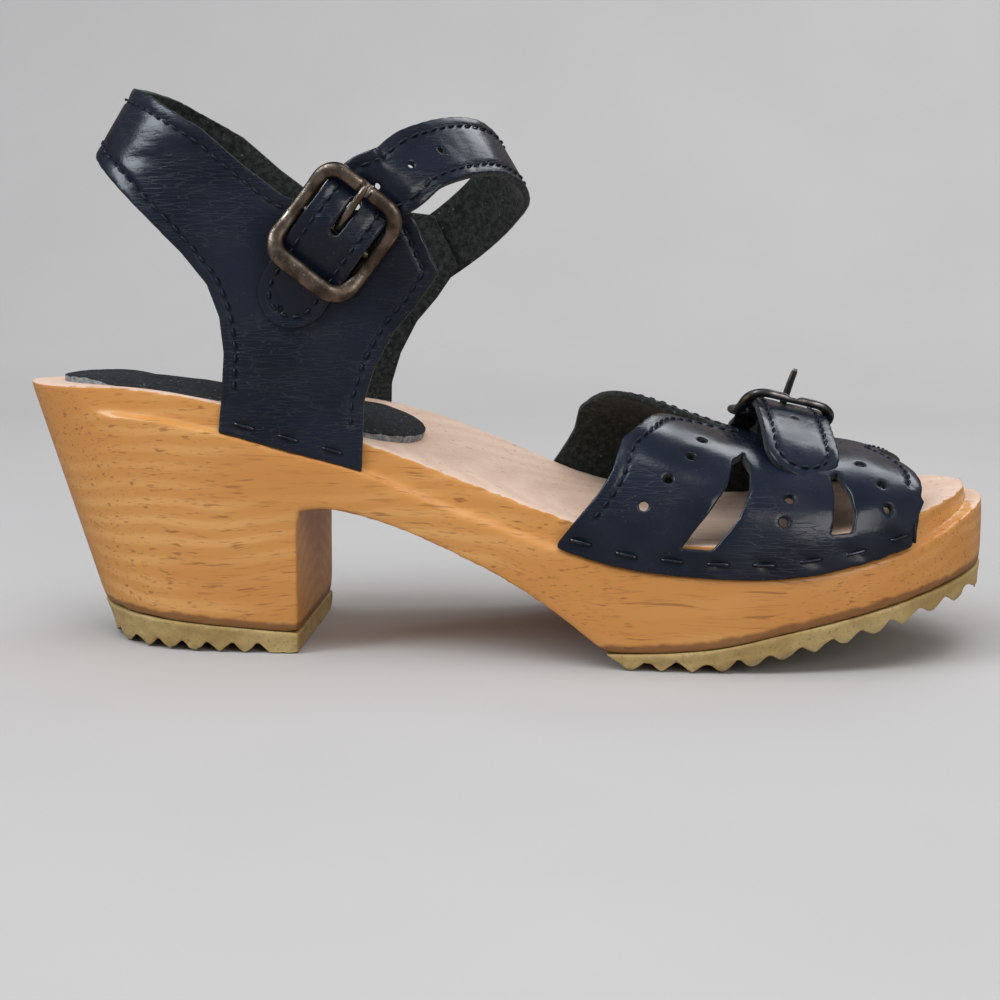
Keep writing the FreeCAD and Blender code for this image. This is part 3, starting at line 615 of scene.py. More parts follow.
def line_distance(lines, points, closed=False):
    """Distance in mm from each pattern point to the nearest line or closed loop."""
    every = np.vstack([spread(line, 0.35, closed) for line in lines])
    tree = KDTree(len(every))
    for k, p in enumerate(every):
        tree.insert((*p, 0), k)
    tree.balance()
    return np.array([tree.find((*p, 0))[2] for p in points])


def inward(loops, loop, probe):
    """Unit directions across a loop that point into the leather; probe is a small distance."""
    run = unit(np.roll(loop, -1, 0) - np.roll(loop, 1, 0))
    across = np.column_stack([-run[:, 1], run[:, 0]])
    return across if inside(loops, loop + across * probe).mean() >= 0.5 else -across


print("check: (3, 4) lies", line_distance([[(0, 0), (3, 0)]], [(3, 4)])[0], "mm off a line along u")

# %% [markdown]
# ## Cutting a piece of leather
# The pattern is filled with points, joined into triangles and laid on the skin twice: once as the
# shiny face and once, a leather's thickness lower, as the flesh side. A ring of wall faces closes
# it. The face turns down softly at every cut edge.

# %% Cut one piece of leather
EDGE_ROLL = 0.55            # how far in from a cut edge the face starts to turn down
RING_IN = 0.3               # a row of points just inside each cut edge
ROW_PITCH = 0.866           # rows of even triangles, as a part of the spacing


def cut_leather(name, skin, loops, thick, relief=None, spacing=0.8, roll=0.3):
    """A closed piece of leather; relief(uv, edge distance) gives the height of its face."""
    loops = [spread(loop, spacing, closed=True) for loop in loops]
    low, high = loops[0].min(0), loops[0].max(0)
    field = []
    for k, v in enumerate(np.arange(low[1], high[1], spacing * ROW_PITCH)):
        us = np.arange(low[0] + (k % 2) * spacing / 2, high[0], spacing)
        field.append(np.column_stack([us, np.full(len(us), v)]))
    field = np.vstack(field)
    field = field[inside(loops, field)]
    field = field[line_distance(loops, field, closed=True) > spacing * 0.62]
    rings = np.vstack([loop + inward(loops, loop, RING_IN) * RING_IN for loop in loops])
    rings = rings[inside(loops, rings)]
    border = np.vstack(loops)
    flat = np.vstack([border, rings, field])
    edges, first = [], 0
    for loop in loops:
        edges += [(first + k, first + (k + 1) % len(loop)) for k in range(len(loop))]
        first += len(loop)
    made, _, faces, _, _, _ = delaunay_2d_cdt([Vector(p) for p in flat], edges, [], 0, 1e-6)
    assert len(made) == len(flat), "the pattern of %s crosses itself" % name
    faces = np.array([list(face) for face in faces])
    faces = faces[inside(loops, flat[faces].mean(1))]
    ends = flat[faces]
    turn = np.cross(ends[:, 1] - ends[:, 0], ends[:, 2] - ends[:, 0])
    faces[turn < 0] = faces[turn < 0][:, ::-1]
    distance = line_distance(loops, flat, closed=True)
    rolled = np.clip(1 - distance / EDGE_ROLL, 0, 1)
    height = -roll * (1 - np.sqrt(1 - 0.98 * rolled ** 2))
    if relief:
        height = height + relief(flat, distance)
    top, _ = skin.at(flat, height)
    sag = np.minimum(height, 0) * 0.5 + 0.12 * rolled
    under, _ = skin.at(flat, sag - thick)
    count = len(flat)
    waist, _ = skin.at(border, -thick * 0.5)
    verts = np.vstack([top, under, waist]) * MM
    quads, first = [], 0
    boundary = set(map(tuple, np.vstack([faces[:, [0, 1]], faces[:, [1, 2]], faces[:, [2, 0]]])))
    for loop in loops:
        for k in range(len(loop)):
            a, b = first + k, first + (k + 1) % len(loop)
            if (a, b) not in boundary:
                a, b = b, a
            quads.append((b, a, 2 * count + a, 2 * count + b))
            quads.append((2 * count + b, 2 * count + a, count + a, count + b))
        first += len(loop)
    faces = faces.tolist()
    mesh = bpy.data.meshes.new(name)
    mesh.from_pydata(verts.tolist(), [], faces + [[c + count for c in f[::-1]] for f in faces]
                     + quads)
    slots = [0] * len(faces) + [1] * (len(faces) + len(quads))
    mesh.materials.append(MATERIALS["patent"])
    mesh.materials.append(MATERIALS["suede"])
    mesh.polygons.foreach_set("material_index", slots)
    mesh.polygons.foreach_set("use_smooth", [True] * len(slots))
    piece = bpy.data.objects.new(name, mesh)
    bpy.context.scene.collection.objects.link(piece)
    print("%-18s %6d faces" % (name, len(mesh.polygons)))
    return piece


print("leather turns down over the last", EDGE_ROLL, "mm")

# %% [markdown]
# The CAD nodes know where every edge, slot and staple is. Typing those places again would be easy to
# get wrong, so they are read back from the nodes: the outer face's border becomes the pattern, and
# the middle of each staple becomes a dent.

# %% Read borders and centres off the CAD nodes
SMOOTH_JOIN = math.radians(32)  # faces that meet at less than this belong together
SKIN_GAP = 1.0              # a face this near a skin, in mm, may lie on it
SKIN_FACING = 0.6           # cosine of the largest turn away from the skin


def merged(node):
    """A CAD node's mesh with its doubled corners joined."""
    work = bmesh.new()
    work.from_mesh(nodes[node].data)
    bmesh.ops.remove_doubles(work, verts=work.verts, dist=2e-6)
    work.normal_update()
    work.verts.index_update()
    work.faces.index_update()
    return work


def on_skin(work, skin):
    """The faces of a CAD mesh that lie on a skin and face the way it does."""
    work.faces.ensure_lookup_table()
    centres = np.array([f.calc_center_median() for f in work.faces]) / MM
    points, normals = skin.at(skin.find(centres))
    gap = np.abs(np.einsum("ij,ij->i", centres - points, normals))
    facing = np.einsum("ij,ij->i", np.array([f.normal for f in work.faces]), normals)
    return {work.faces[k] for k in np.nonzero((gap < SKIN_GAP) & (facing > SKIN_FACING))[0]}


def grown_from(work, seed):
    """The faces that join on smoothly from the one nearest to a place in mm."""
    start = min(work.faces, key=lambda f: (f.calc_center_median() - Vector(seed) * MM).length)
    face, queue = {start}, [start]
    while queue:
        for edge in queue.pop().edges:
            if len(edge.link_faces) == 2 and edge.calc_face_angle(0) < SMOOTH_JOIN:
                for other in edge.link_faces:
                    if other not in face:
                        face.add(other)
                        queue.append(other)
    return face


def skin_edges(node, seed=None, skin=None):
    """Border loops, in mm, of a CAD node's outer face: on a skin, or grown from a seed."""
    work = merged(node)
    face = on_skin(work, skin) if skin else grown_from(work, seed)
    links = {}
    for f in sorted(face, key=lambda f: f.index):
        for loop in f.loops:
            if sum(other in face for other in loop.edge.link_faces) == 1:
                links.setdefault(loop.vert, []).append(loop.link_loop_next.vert)
    loops = []
    while links:
        first = next(iter(links))
        chain, here = [], first
        while here in links:
            chain.append(here.co / MM)
            nexts = links[here]
            there = nexts.pop()
            if not nexts:
                del links[here]
            here = there
        if len(chain) > 5:
            loops.append(np.array(chain))
    work.free()
    return sorted(loops, key=lambda l: -np.ptp(l, axis=0).sum())


def part_centres(node):
    """Centres, in mm, of the separate solids in one CAD node."""
    work = merged(node)
    seen, centres = set(), []
    for start in work.verts:
        if start in seen:
            continue
        seen.add(start)
        queue, island = [start], []
        while queue:
            vert = queue.pop()
            island.append(vert.co / MM)
            for edge in vert.link_edges:
                other = edge.other_vert(vert)
                if other not in seen:
                    seen.add(other)
                    queue.append(other)
        centres.append(np.mean(island, axis=0))
    work.free()
    return centres


def tree_of(*names):
    """A search tree over the faces of CAD nodes, in metres."""
    verts, faces = [], []
    for name in names:
        mesh = nodes[name].data
        faces += [[i + len(verts) for i in p.vertices] for p in mesh.polygons]
        verts += [v.co.copy() for v in mesh.vertices]
    return BVHTree.FromPolygons(verts, faces)


def gap_to(tree, points):
    """Distance in mm from points in mm to a CAD surface."""
    return np.array([tree.find_nearest(Vector(p) * MM)[3] / MM for p in points])


sole_tree = tree_of("wooden_sole")
rubber_tree = tree_of("heel_rubber", "forefoot_rubber")
print("staples found:", len(part_centres("vamp_staples_outer")))

# %% [markdown]
# ## The wooden sole and its rubber
# Sawn and sanded wood has no sharp edge. A bevel would treat every edge alike, so the CAD solid is
# remeshed finely and smoothed instead: a few plain passes round its edges, then passes that only
# flatten what is already nearly flat.

# %% Give a piece its place in the clog
def settle_in(piece, body, finish, *replaced):
    """The piece rides on a body and stands for CAD nodes, which it hides; finish is not used."""
    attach(piece, body)
    if replaced:
        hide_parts(*replaced)


def to_mesh(name, verts, faces, material):
    """A smooth-shaded mesh of one material, from places in mm."""
    mesh = bpy.data.meshes.new(name)
    mesh.from_pydata((np.asarray(verts) * MM).tolist(), [], faces)
    mesh.materials.append(MATERIALS[material])
    mesh.polygons.foreach_set("use_smooth", np.ones(len(mesh.polygons), bool))
    return mesh


def link(name, mesh, body, finish, *replaced):
    """Puts a mesh in the scene and settles it in."""
    piece = bpy.data.objects.new(name, mesh)
    bpy.context.scene.collection.objects.link(piece)
    settle_in(piece, body, finish, *replaced)


# %% Soften a CAD solid
SMOOTH_STEP = 0.6           # how far a vertex moves towards its neighbours in one pass
BEND_LIMIT = 0.004          # 1 - cosine of the bend that the kept passes start to respect


def remeshed(node, voxel):
    """The CAD solid as an even quad mesh: its vertices in mm, its edges and its faces."""
    source = nodes[node].copy()
    source.data = nodes[node].data.copy()
    source.parent = None
    bpy.context.scene.collection.objects.link(source)
    modifier = source.modifiers.new("even", "REMESH")
    modifier.mode = "VOXEL"
    modifier.voxel_size = voxel * MM
    dg = bpy.context.evaluated_depsgraph_get()
    mesh = bpy.data.meshes.new_from_object(source.evaluated_get(dg))
    bpy.data.objects.remove(source)
    verts = np.zeros(len(mesh.vertices) * 3, np.float32)
    mesh.vertices.foreach_get("co", verts)
    edges = np.zeros(len(mesh.edges) * 2, np.int32)
    mesh.edges.foreach_get("vertices", edges)
    faces = np.zeros(len(mesh.loops), np.int32)
    mesh.loops.foreach_get("vertex_index", faces)
    bpy.data.meshes.remove(mesh)
    return verts.reshape(-1, 3).astype(float) / MM, edges.reshape(-1, 2), faces.reshape(-1, 4)


def vertex_normals(verts, faces):
    corner = verts[faces]
    flat = np.cross(corner[:, 2] - corner[:, 0], corner[:, 3] - corner[:, 1])
    normals = np.column_stack([sum(np.bincount(faces[:, k], flat[:, axis], len(verts))
                                   for k in range(4)) for axis in range(3)])
    return normals / np.maximum(np.linalg.norm(normals, axis=1, keepdims=True), 1e-9)


def smoothed(verts, edges, faces, plain, kept):
    """Plain passes round everything; kept passes leave whatever bends sharply alone."""
    a, b = np.concatenate([edges[:, 0], edges[:, 1]]), np.concatenate([edges[:, 1], edges[:, 0]])
    for k in range(plain + kept):
        gap = verts[b] - verts[a]
        if k < plain:
            weight = np.ones(len(a))
        else:
            normals = vertex_normals(verts, faces)
            weight = np.exp((np.einsum("ij,ij->i", normals[a], normals[b]) - 1) / BEND_LIMIT) + 1e-4
        total = np.bincount(a, weight, len(verts))
        pull = np.column_stack([np.bincount(a, weight * gap[:, axis], len(verts)) / total
                                for axis in range(3)])
        if k >= plain:
            pull = normals * np.einsum("ij,ij->i", pull, normals)[:, None]
        verts = verts + SMOOTH_STEP * pull
    return verts


def note(mesh, name, values):
    """Stores one number per vertex for the materials to read."""
    mesh.attributes.new(name, "FLOAT", "POINT").data.foreach_set("value", np.asarray(values, float))


def turbulence(verts, size, seed=0.0):
    """Smooth noise from -1 to 1 at points in mm, with features of about that size."""
    return np.array([turb.noise(Vector(p) / size + Vector((seed, 0, 0))) for p in verts])


def height_on(tree, x, y):
    """Height in mm of the highest surface of a tree at a plan point."""
    hit = tree.ray_cast(Vector((x * MM, y * MM, 1.0)), Vector((0, 0, -1)))[0]
    return hit.z / MM if hit else np.nan


print("footbed over the middle of the heel:", round(height_on(sole_tree, -90, 0), 1), "mm up")


# %% Wooden sole
VOXEL = 0.8
verts, edges, faces = remeshed("wooden_sole", VOXEL)
verts = smoothed(verts, edges, faces, 2, 30)
SPINE_REACH = 130           # the footbed's height is read each millimetre this far either way
spine = np.array([height_on(sole_tree, x, 0) for x in range(-SPINE_REACH, SPINE_REACH + 1)])
seat = spine[np.clip(np.round(verts[:, 0]).astype(int) + SPINE_REACH, 0, 2 * SPINE_REACH)]
on_top = verts[:, 2] > np.nan_to_num(seat, nan=30.0) - 4
facing = vertex_normals(verts, faces)[:, 2]
mesh = to_mesh("sole_wood", verts, faces.tolist(), "wood")
note(mesh, "bare", on_top * np.clip((facing - 0.35) / 0.5, 0, 1))
low = verts[:, 2] < 36      # the stain by the rubber ends far below this
above = np.full(len(verts), 20.0)
above[low] = gap_to(rubber_tree, verts[low])
note(mesh, "above_rubber", above)
link("sole", mesh, "root", "wood", "wooden_sole")
print("sole:", len(faces), "faces,", int(on_top.sum()), "vertices on the footbed")

# %% [markdown]
# The treads are cut by walking as much as by the mould: their tips wander, so the rubber gets a
# coarse and a fine unevenness that grows towards the floor.

# %% Rubber treads
for node, name in (("heel_rubber", "heel_tread"), ("forefoot_rubber", "front_tread")):
    verts, edges, faces = remeshed(node, 0.55)
    verts = smoothed(verts, edges, faces, 1, 8)
    normals = vertex_normals(verts, faces)
    below = gap_to(sole_tree, verts)
    free = np.clip((below - 0.6) / 2.0, 0, 1)
    low = np.clip((below - 4.0) / 4.0, 0, 1)
    ripple = 0.30 * turbulence(verts, 3.4) + 0.20 * turbulence(verts, 1.3, 3.0) * (0.5 + low)
    verts = verts + normals * (free * (ripple - 0.34))[:, None]
    verts[:, 2] = np.maximum(verts[:, 2], 0.0)
    mesh = to_mesh(name, verts, faces.tolist(), "rubber")
    # The stored number is 1 at the tread's lowest point and falls to 0 at 3 mm above it; the material
    # draws the rubber darker there.
    note(mesh, "near_floor", np.clip((3.0 - (below.max() - below)) / 3.0, 0, 1))
    link(name, mesh, "root", "tread_rubber", node)
    print(name, len(faces), "faces")

# %% [markdown]
# ## The vamp
# The vamp is one flat cut piece pulled over a last and stapled down both sides. Its skin is a row of
# boxy arches, each a little lower towards the toe. The cut edges, slots and punched holes come from
# the CAD node, so they line up with it exactly.

# %% Vamp skin
LEATHER = 2.0
SHIFT_Y = -2.3              # from the middle of the heel to the middle of the whole clog
# x, outer half width, inner half width, lowest height, crest height
VAMP_ARCHES = np.array([(4, 36.6, 38.6, 32, 66.5), (20, 40.2, 42.0, 28, 65.8),
                        (35, 42.8, 45.6, 25, 63.2), (50, 44.2, 47.2, 25, 58.0),
                        (65, 44.4, 47.6, 25, 53.6), (80, 42.8, 46.0, 26, 52.0),
                        (95, 38.4, 42.0, 28, 50.4), (108, 31.4, 35.2, 30, 45.8),
                        (116, 24.6, 28.8, 32, 42.0)])
ARCH_BOX = 3.0              # 2 is an ellipse, more is boxier
ARCH_BELOW = 60             # how far the skin runs straight on below its arches, mm


def through(stations, values, places):
    """Smooth curve through values at stations, read at places (Hermite pieces)."""
    stations, values = np.asarray(stations, float), np.asarray(values, float)
    if values.ndim == 1:
        values = values[:, None]
    slope = np.gradient(values, stations, axis=0)
    k = np.clip(np.searchsorted(stations, places, side="right") - 1, 0, len(stations) - 2)
    span = (stations[k + 1] - stations[k])[:, None]
    t = (np.asarray(places)[:, None] - stations[k][:, None]) / span
    return ((2 * t ** 3 - 3 * t ** 2 + 1) * values[k] + (t ** 3 - 2 * t ** 2 + t) * span * slope[k]
            + (3 * t ** 2 - 2 * t ** 3) * values[k + 1] + (t ** 3 - t ** 2) * span * slope[k + 1])


def make_vamp_skin():
    stations = np.arange(6.0, 115.0, 1.0)
    rows = through(VAMP_ARCHES[:, 0], VAMP_ARCHES[:, 1:], stations)
    angle = np.radians(np.linspace(180, 0, 361))
    reach = np.arange(-86.0, 87.0, 1.0)
    power = 2 / ARCH_BOX
    grid = []
    for x, (outer, inner, low_z, crest) in zip(stations, rows):
        c, s = np.cos(angle), np.sin(angle)
        y = np.where(c > 0, inner, outer) * np.sign(c) * np.abs(c) ** power
        z = low_z + (crest - low_z) * np.abs(s) ** power
        y = np.concatenate([[y[0]], y, [y[-1]]])
        z = np.concatenate([[z[0] - ARCH_BELOW], z, [z[-1] - ARCH_BELOW]])
        run = np.concatenate([[0], np.cumsum(np.hypot(np.diff(y), np.diff(z)))])
        run -= np.interp(0.0, y, run)
        grid.append(np.column_stack([np.full(len(reach), x), np.interp(reach, run, y) + SHIFT_Y,
                                     np.interp(reach, run, z)]))
    return Skin(grid, stations[0], reach[0], 1.0, 1.0)


vamp_skin = make_vamp_skin()
vamp_loops = [vamp_skin.find(loop) for loop in skin_edges("vamp", skin=vamp_skin)]
vamp_loops[0] = smooth_line(spread(vamp_loops[0], 0.5, closed=True), 5, closed=True)
print("vamp pattern:", len(vamp_loops), "edges, the longest of",
      round(float(np.linalg.norm(np.diff(vamp_loops[0], axis=0), axis=1).sum())), "mm")

# %% [markdown]
# A machine sews along every free edge of the leather, but not along the foot that is stapled to the
# wood. The line is the outline moved inwards, with the stretches near the wood left out.

# %% Where the stitches run
STITCH_INSET = 3.0
STAPLED_FOOT = 3.2          # leather this near the wood has no stitching, mm


def near_wood(skin, uv):
    """True where a pattern place lies close to the wood once it is bent into shape."""
    points, _ = skin.at(uv, -LEATHER / 2)
    return gap_to(sole_tree, points) < STAPLED_FOOT


def stitch_lines(skin, loops):
    """Open lines inside the outline, leaving out the stapled foot."""
    outline = smooth_line(spread(loops[0], 0.5, closed=True), 6, closed=True)
    line = outline + inward(loops, outline, 0.5) * STITCH_INSET
    kept = (inside(loops, line) & ~near_wood(skin, outline)
            & (line_distance(loops, line, closed=True) > STITCH_INSET * 0.96))
    shift = int(np.argmin(kept))
    kept, line = np.roll(kept, -shift), np.roll(line, -shift, axis=0)
    lines, start = [], None
    for k, good in enumerate(list(kept) + [False]):
        if good and start is None:
            start = k
        if not good and start is not None:
            if k - start > 12:
                lines.append(line[start:k])
            start = None
    return lines


vamp_lines = stitch_lines(vamp_skin, vamp_loops)
print("the vamp has", len(vamp_lines), "rows of stitching")

# %% [markdown]
# Thread could be a curve with a thickness, but a stitch dips into the leather at both ends, so each
# one is a short arched tube whose middle stands proud.

# %% Stitches
STITCH = 2.5                # length of one stitch, mm
STITCH_GAP = 0.8
THREAD = 0.33               # radius
THREAD_SUNK = 0.18


def tube(rings, closed=False):
    """Vertices, faces and end caps of a tube through equal rings of points."""
    rings = np.asarray(rings)
    count, around = rings.shape[:2]
    faces = []
    for i in range(count if closed else count - 1):
        j = (i + 1) % count
        for k in range(around):
            m = (k + 1) % around
            faces.append([i * around + k, i * around + m, j * around + m, j * around + k])
    caps = [] if closed else [list(range(around))[::-1],
                              [(count - 1) * around + k for k in range(around)]]
    return rings.reshape(-1, 3), faces, caps


def join(pieces):
    """Several (vertices, faces) as one."""
    verts, faces, first = [], [], 0
    for piece_verts, piece_faces in pieces:
        verts.append(piece_verts)
        faces += [[k + first for k in face] for face in piece_faces]
        first += len(piece_verts)
    return np.vstack(verts), faces


def one_stitch(skin, start, end):
    """Vertices and faces of a short arched thread between two pattern places."""
    steps = np.linspace(-0.08, 1.08, 7)
    part = STITCH / (STITCH + STITCH_GAP)
    path = start + np.outer(0.5 + (steps - 0.5) * part, end - start)
    lift = THREAD * (1 - (2 * steps - 1) ** 4 * 2.4) - THREAD_SUNK
    centre, normal = skin.at(path, lift)
    side = np.cross(unit(np.gradient(centre, axis=0)), normal)
    angle = np.linspace(0, 2 * math.pi, 6, endpoint=False)
    radius = THREAD * chance.uniform(0.9, 1.08) * np.sqrt(np.clip(1.15 - (2 * steps - 1) ** 6, 0.1, 1))
    rings = [c + r * (np.outer(np.cos(angle), s) + np.outer(np.sin(angle), n))
             for c, s, n, r in zip(centre, side, normal, radius)]
    verts, faces, caps = tube(rings)
    return verts, faces + caps


def stitches(name, skin, lines):
    """One piece of thread: all the stitches along some pattern lines."""
    made = []
    for line in lines:
        even = spread(line, STITCH + STITCH_GAP)
        made += [one_stitch(skin, a, b) for a, b in zip(even, even[1:])]
    link(name, to_mesh(name, *join(made), "thread"), "root", "patent_leather")
    print("%-22s %4d stitches" % (name, len(made)))


print("each stitch takes", STITCH + STITCH_GAP, "mm")

# %% [markdown]
# The leather isn't smooth between its seams. Stitches pull a groove, each staple presses a dent, and
# the whole face swells and sinks a little. Those are real heights of the mesh and not bump, because
# gloss shows them at the outline as well.

# %% Grooves and dents
SPACING = 0.75


def groove(lines, points, depth=0.42, wide=0.75):
    """Height of the dip that a row of stitches pulls into the leather."""
    return -depth * np.exp(-(line_distance(lines, points) / wide) ** 2)


def staple_dents(skin, nodes_of_staples, points, depth=0.55, wide=2.6):
    """Height of the soft dents that staples press into the leather."""
    spots = skin.find([c for node in nodes_of_staples for c in part_centres(node)])
    dent = np.zeros(len(points))
    for spot in spots:
        gap = points - spot
        dent -= depth * np.exp(-(gap[:, 0] / wide) ** 2 - (gap[:, 1] / (wide * 0.55)) ** 2)
    return dent


print("leather is meshed every", SPACING, "mm")

# %% Vamp leather
def vamp_relief(uv, distance):
    points, _ = vamp_skin.at(uv)
    soft = 0.28 * turbulence(points, 19) + 0.10 * turbulence(points, 7, 5.0)
    return (soft + groove(vamp_lines, uv)
            + staple_dents(vamp_skin, ("vamp_staples_outer", "vamp_staples_inner"), uv))


settle_in(cut_leather("vamp_leather", vamp_skin, vamp_loops, LEATHER, vamp_relief, SPACING),
          "root", "patent_leather", "vamp")
stitches("vamp_stitching", vamp_skin, vamp_lines)

# %% Staples
for word in ("outer", "inner"):
    for row in ("vamp", "sling"):
        staples = nodes["%s_staples_%s" % (row, word)]
        staples.data.materials.clear()
        staples.data.materials.append(MATERIALS["staple"])
        print(staples.name, "shows", len(part_centres(staples.name)), "staples")

# %% [markdown]
# ## The ankle sling
# One U-shaped piece runs from the outer quarter round the heel to the inner quarter. Its skin is
# straight along both sides and rounds off behind the heel, and the whole bend leans forward with
# height, because the strap sits over the heel bone and not over the sole.

# %% Sling skin
SLING_LEAN = 0.59           # forward lean of the heel strap per millimetre of height
SLING_BEND = 36.0           # length of the round stretch behind the heel
SLING_BOX = 2.43            # squareness of the bend, as ARCH_BOX
SLING_REAR = -103.5         # the rearmost place of the skin at BEND_LEVEL
BEND_LEVEL = 126
SIDE_LEVEL = 55             # height at which the half widths below hold
SIDE_START = -70.0          # where the pattern's straight sides are measured from
BEND_RUN = 47.5             # leather in half of the bend


def make_sling_skin():
    heights = np.arange(40.0, 148.0, 1.0)
    reach = np.arange(-128.0, 129.0, 1.0)
    turn = np.linspace(0, math.pi / 2, 80)
    grid = []
    for z in heights:
        back = SLING_REAR + (z - BEND_LEVEL) * SLING_LEAN
        outer, inner = 29.1 - (z - SIDE_LEVEL) * 0.035, 30.4 - (z - SIDE_LEVEL) * 0.045
        middle = (inner - outer) / 2
        bow_x = back + SLING_BEND * (1 - np.cos(turn) ** (2 / SLING_BOX))
        bow_t = np.sin(turn) ** (2 / SLING_BOX)
        halves = []
        for half in (outer + middle, inner - middle):
            bow = np.column_stack([bow_x, bow_t * half])
            run = np.concatenate([[0], np.cumsum(np.linalg.norm(np.diff(bow, axis=0), axis=1))])
            knee = max(2.0, BEND_RUN + back + SLING_BEND - SIDE_START)
            run = np.concatenate([run * knee / run[-1], [knee + 10.0 - bow[-1, 0]]])
            bow = np.vstack([bow, [10.0, half]])
            halves.append([np.interp(np.abs(reach), run, bow[:, k]) for k in (0, 1)])
        x = np.where(reach > 0, halves[0][0], halves[1][0])
        y = np.where(reach > 0, -halves[0][1], halves[1][1]) + middle + SHIFT_Y
        grid.append(np.column_stack([x, y, np.full(len(reach), z)]))
    return Skin(np.transpose(grid, (1, 0, 2)), reach[0], heights[0], 1.0, 1.0)


sling_skin = make_sling_skin()
sling_loops = [sling_skin.find(loop) for loop in skin_edges("ankle_sling", (-50, -31.6, 80))[:1]]
sling_lines = stitch_lines(sling_skin, sling_loops)
print("the sling's pattern is %.0f mm long and %.0f mm high" % tuple(np.ptp(sling_loops[0], axis=0)))


# %% Sling leather
def sling_relief(uv, distance):
    """Soft folds where the quarter flexes: level ones low down, slanted ones near the buckle."""
    points, _ = sling_skin.at(uv)
    soft = 0.42 * turbulence(points, 24) + 0.12 * turbulence(points * (0.5, 1, 2.2), 8, 5.0)
    low = np.clip((86 - points[:, 2]) / 18, 0, 1)
    folds = -0.10 * low * np.clip(turbulence(points * (0.35, 1, 2.6), 6, 9.0), 0, 1)
    rear = np.clip((-58 - points[:, 0]) / 8, 0, 1) * np.clip((118 - points[:, 2]) / 10, 0, 1)
    folds -= 0.30 * rear * np.clip(turbulence((points[:, :1] * 0.9 + points[:, 2:] * 0.5)
                                              * (1, 0, 0) + points * 0.05, 2.6, 4.0), 0, 1)
    return (soft + folds + groove(sling_lines, uv)
            + staple_dents(sling_skin, ("sling_staples_outer", "sling_staples_inner"), uv))


settle_in(cut_leather("sling_leather", sling_skin, sling_loops, LEATHER, sling_relief, SPACING),
          "root", "patent_leather", "ankle_sling")
stitches("sling_stitching", sling_skin, sling_lines)

# %% [markdown]
# ## Straps
# A strap's skin is a ribbon swept along its centre line. Both straps go over their buckle's centre
# bar and under its end bars, so each centre line is given partly in the buckle's own directions:
# u along the strap, v along the centre bar and n outwards. The joints say where the bars are.

# %% The Buckle class
class Buckle:
    """Place of a buckle: its centre bar's middle, in mm, and its three directions."""

    def __init__(self, joint, along):
        facts = next(j for j in frame["joints"] if j["name"] == joint)
        self.origin = np.array(facts["pos_m"]) / MM
        self.v = unit(-np.array(facts["axis"], float))
        along = np.array(along, float)
        self.u = unit(along - self.v * along.dot(self.v))
        self.n = np.cross(self.u, self.v)

    def at(self, u, v, n):
        u, v, n = np.broadcast_arrays(u, v, n)
        return (self.origin + u[..., None] * self.u + v[..., None] * self.v
                + n[..., None] * self.n)


ankle = Buckle("ankle_prong_hinge", (0.61, 0, 0.79))
instep = Buckle("vamp_prong_hinge", (0.166, -0.95, 0.269))
print("centre bars at", ankle.origin.round(1), "and", instep.origin.round(1), "mm")


# %% Skin, pattern and stitch line of a strap
STRAP_THICK = 1.8
STRAP_STEP = 0.5            # between the rows of a strap's skin, mm
STRAP_INSET = 2.7           # of the stitches


def strap_skin(stations, width):
    """Ribbon through (centre, direction across) stations; v runs across it."""
    centres = np.array([c for c, _ in stations], float)
    across = unit(np.array([a for _, a in stations], float))
    run = np.concatenate([[0], np.cumsum(np.linalg.norm(np.diff(centres, axis=0), axis=1))])
    fine = np.arange(0, run[-1], 0.25)
    path = smooth_line(through(run, centres, fine), 20)
    across = smooth_line(through(run, across, fine), 40)
    length = np.concatenate([[0], np.cumsum(np.linalg.norm(np.diff(path, axis=0), axis=1))])
    even = np.arange(0, length[-1], STRAP_STEP)
    path = np.column_stack([np.interp(even, length, c) for c in path.T])
    across = np.column_stack([np.interp(even, length, c) for c in across.T])
    forward = unit(np.gradient(path, axis=0))
    across = unit(across - forward * np.einsum("ij,ij->i", across, forward)[:, None])
    face = np.cross(forward, across) * (STRAP_THICK / 2)
    reach = np.arange(-width / 2 - 1, width / 2 + 1.01, STRAP_STEP)
    grid = path[:, None] + face[:, None] + across[:, None] * reach[None, :, None]
    skin = Skin(grid, 0.0, reach[0], STRAP_STEP, STRAP_STEP)
    skin.length = even[-1]
    return skin


def strap_pattern(skin, width, holes):
    """Loops of a strap with a round tip at its start; holes are (u, v, length, width)."""
    half, end = width / 2, skin.length - 0.3
    turn = np.linspace(-math.pi / 2, -3 * math.pi / 2, 30)
    tip = np.column_stack([half * 1.05 * (1 + np.cos(turn)), half * np.sin(turn)])
    outline = np.vstack([tip, [[end, half], [end, -half]]])
    loops = [outline]
    for u, v, long, wide in holes:
        turn = np.linspace(0, 2 * math.pi, 24, endpoint=False)
        straight = (long - wide) / 2 * np.sign(np.round(np.cos(turn), 6))
        loops.append(np.column_stack([u + straight + wide / 2 * np.cos(turn),
                                      v + wide / 2 * np.sin(turn)]))
    return loops


def strap_stitches(skin, width):
    """A line that goes down one edge of a strap, round its tip and back up the other."""
    half, end = width / 2 - STRAP_INSET, skin.length - 2
    turn = np.linspace(-math.pi / 2, -3 * math.pi / 2, 24)
    tip = np.column_stack([STRAP_INSET + half * (1 + np.cos(turn)), half * np.sin(turn)])
    return [np.vstack([[[end, -half]], tip, [[end, half]]])]


print("straps are", STRAP_THICK, "mm thick")


# %% Where the two straps run
# Strap centre line over the buckle in its own (u, n), tip side first
WEAVE = [(-12.3, -0.4), (-6, 2.1), (0, 3.45), (6, 2.7), (12.3, -0.4)]
TIP_LAY = [(-27.4, -2.3), (-23, -2.3), (-19, -1.9), (-15.5, -0.9)]
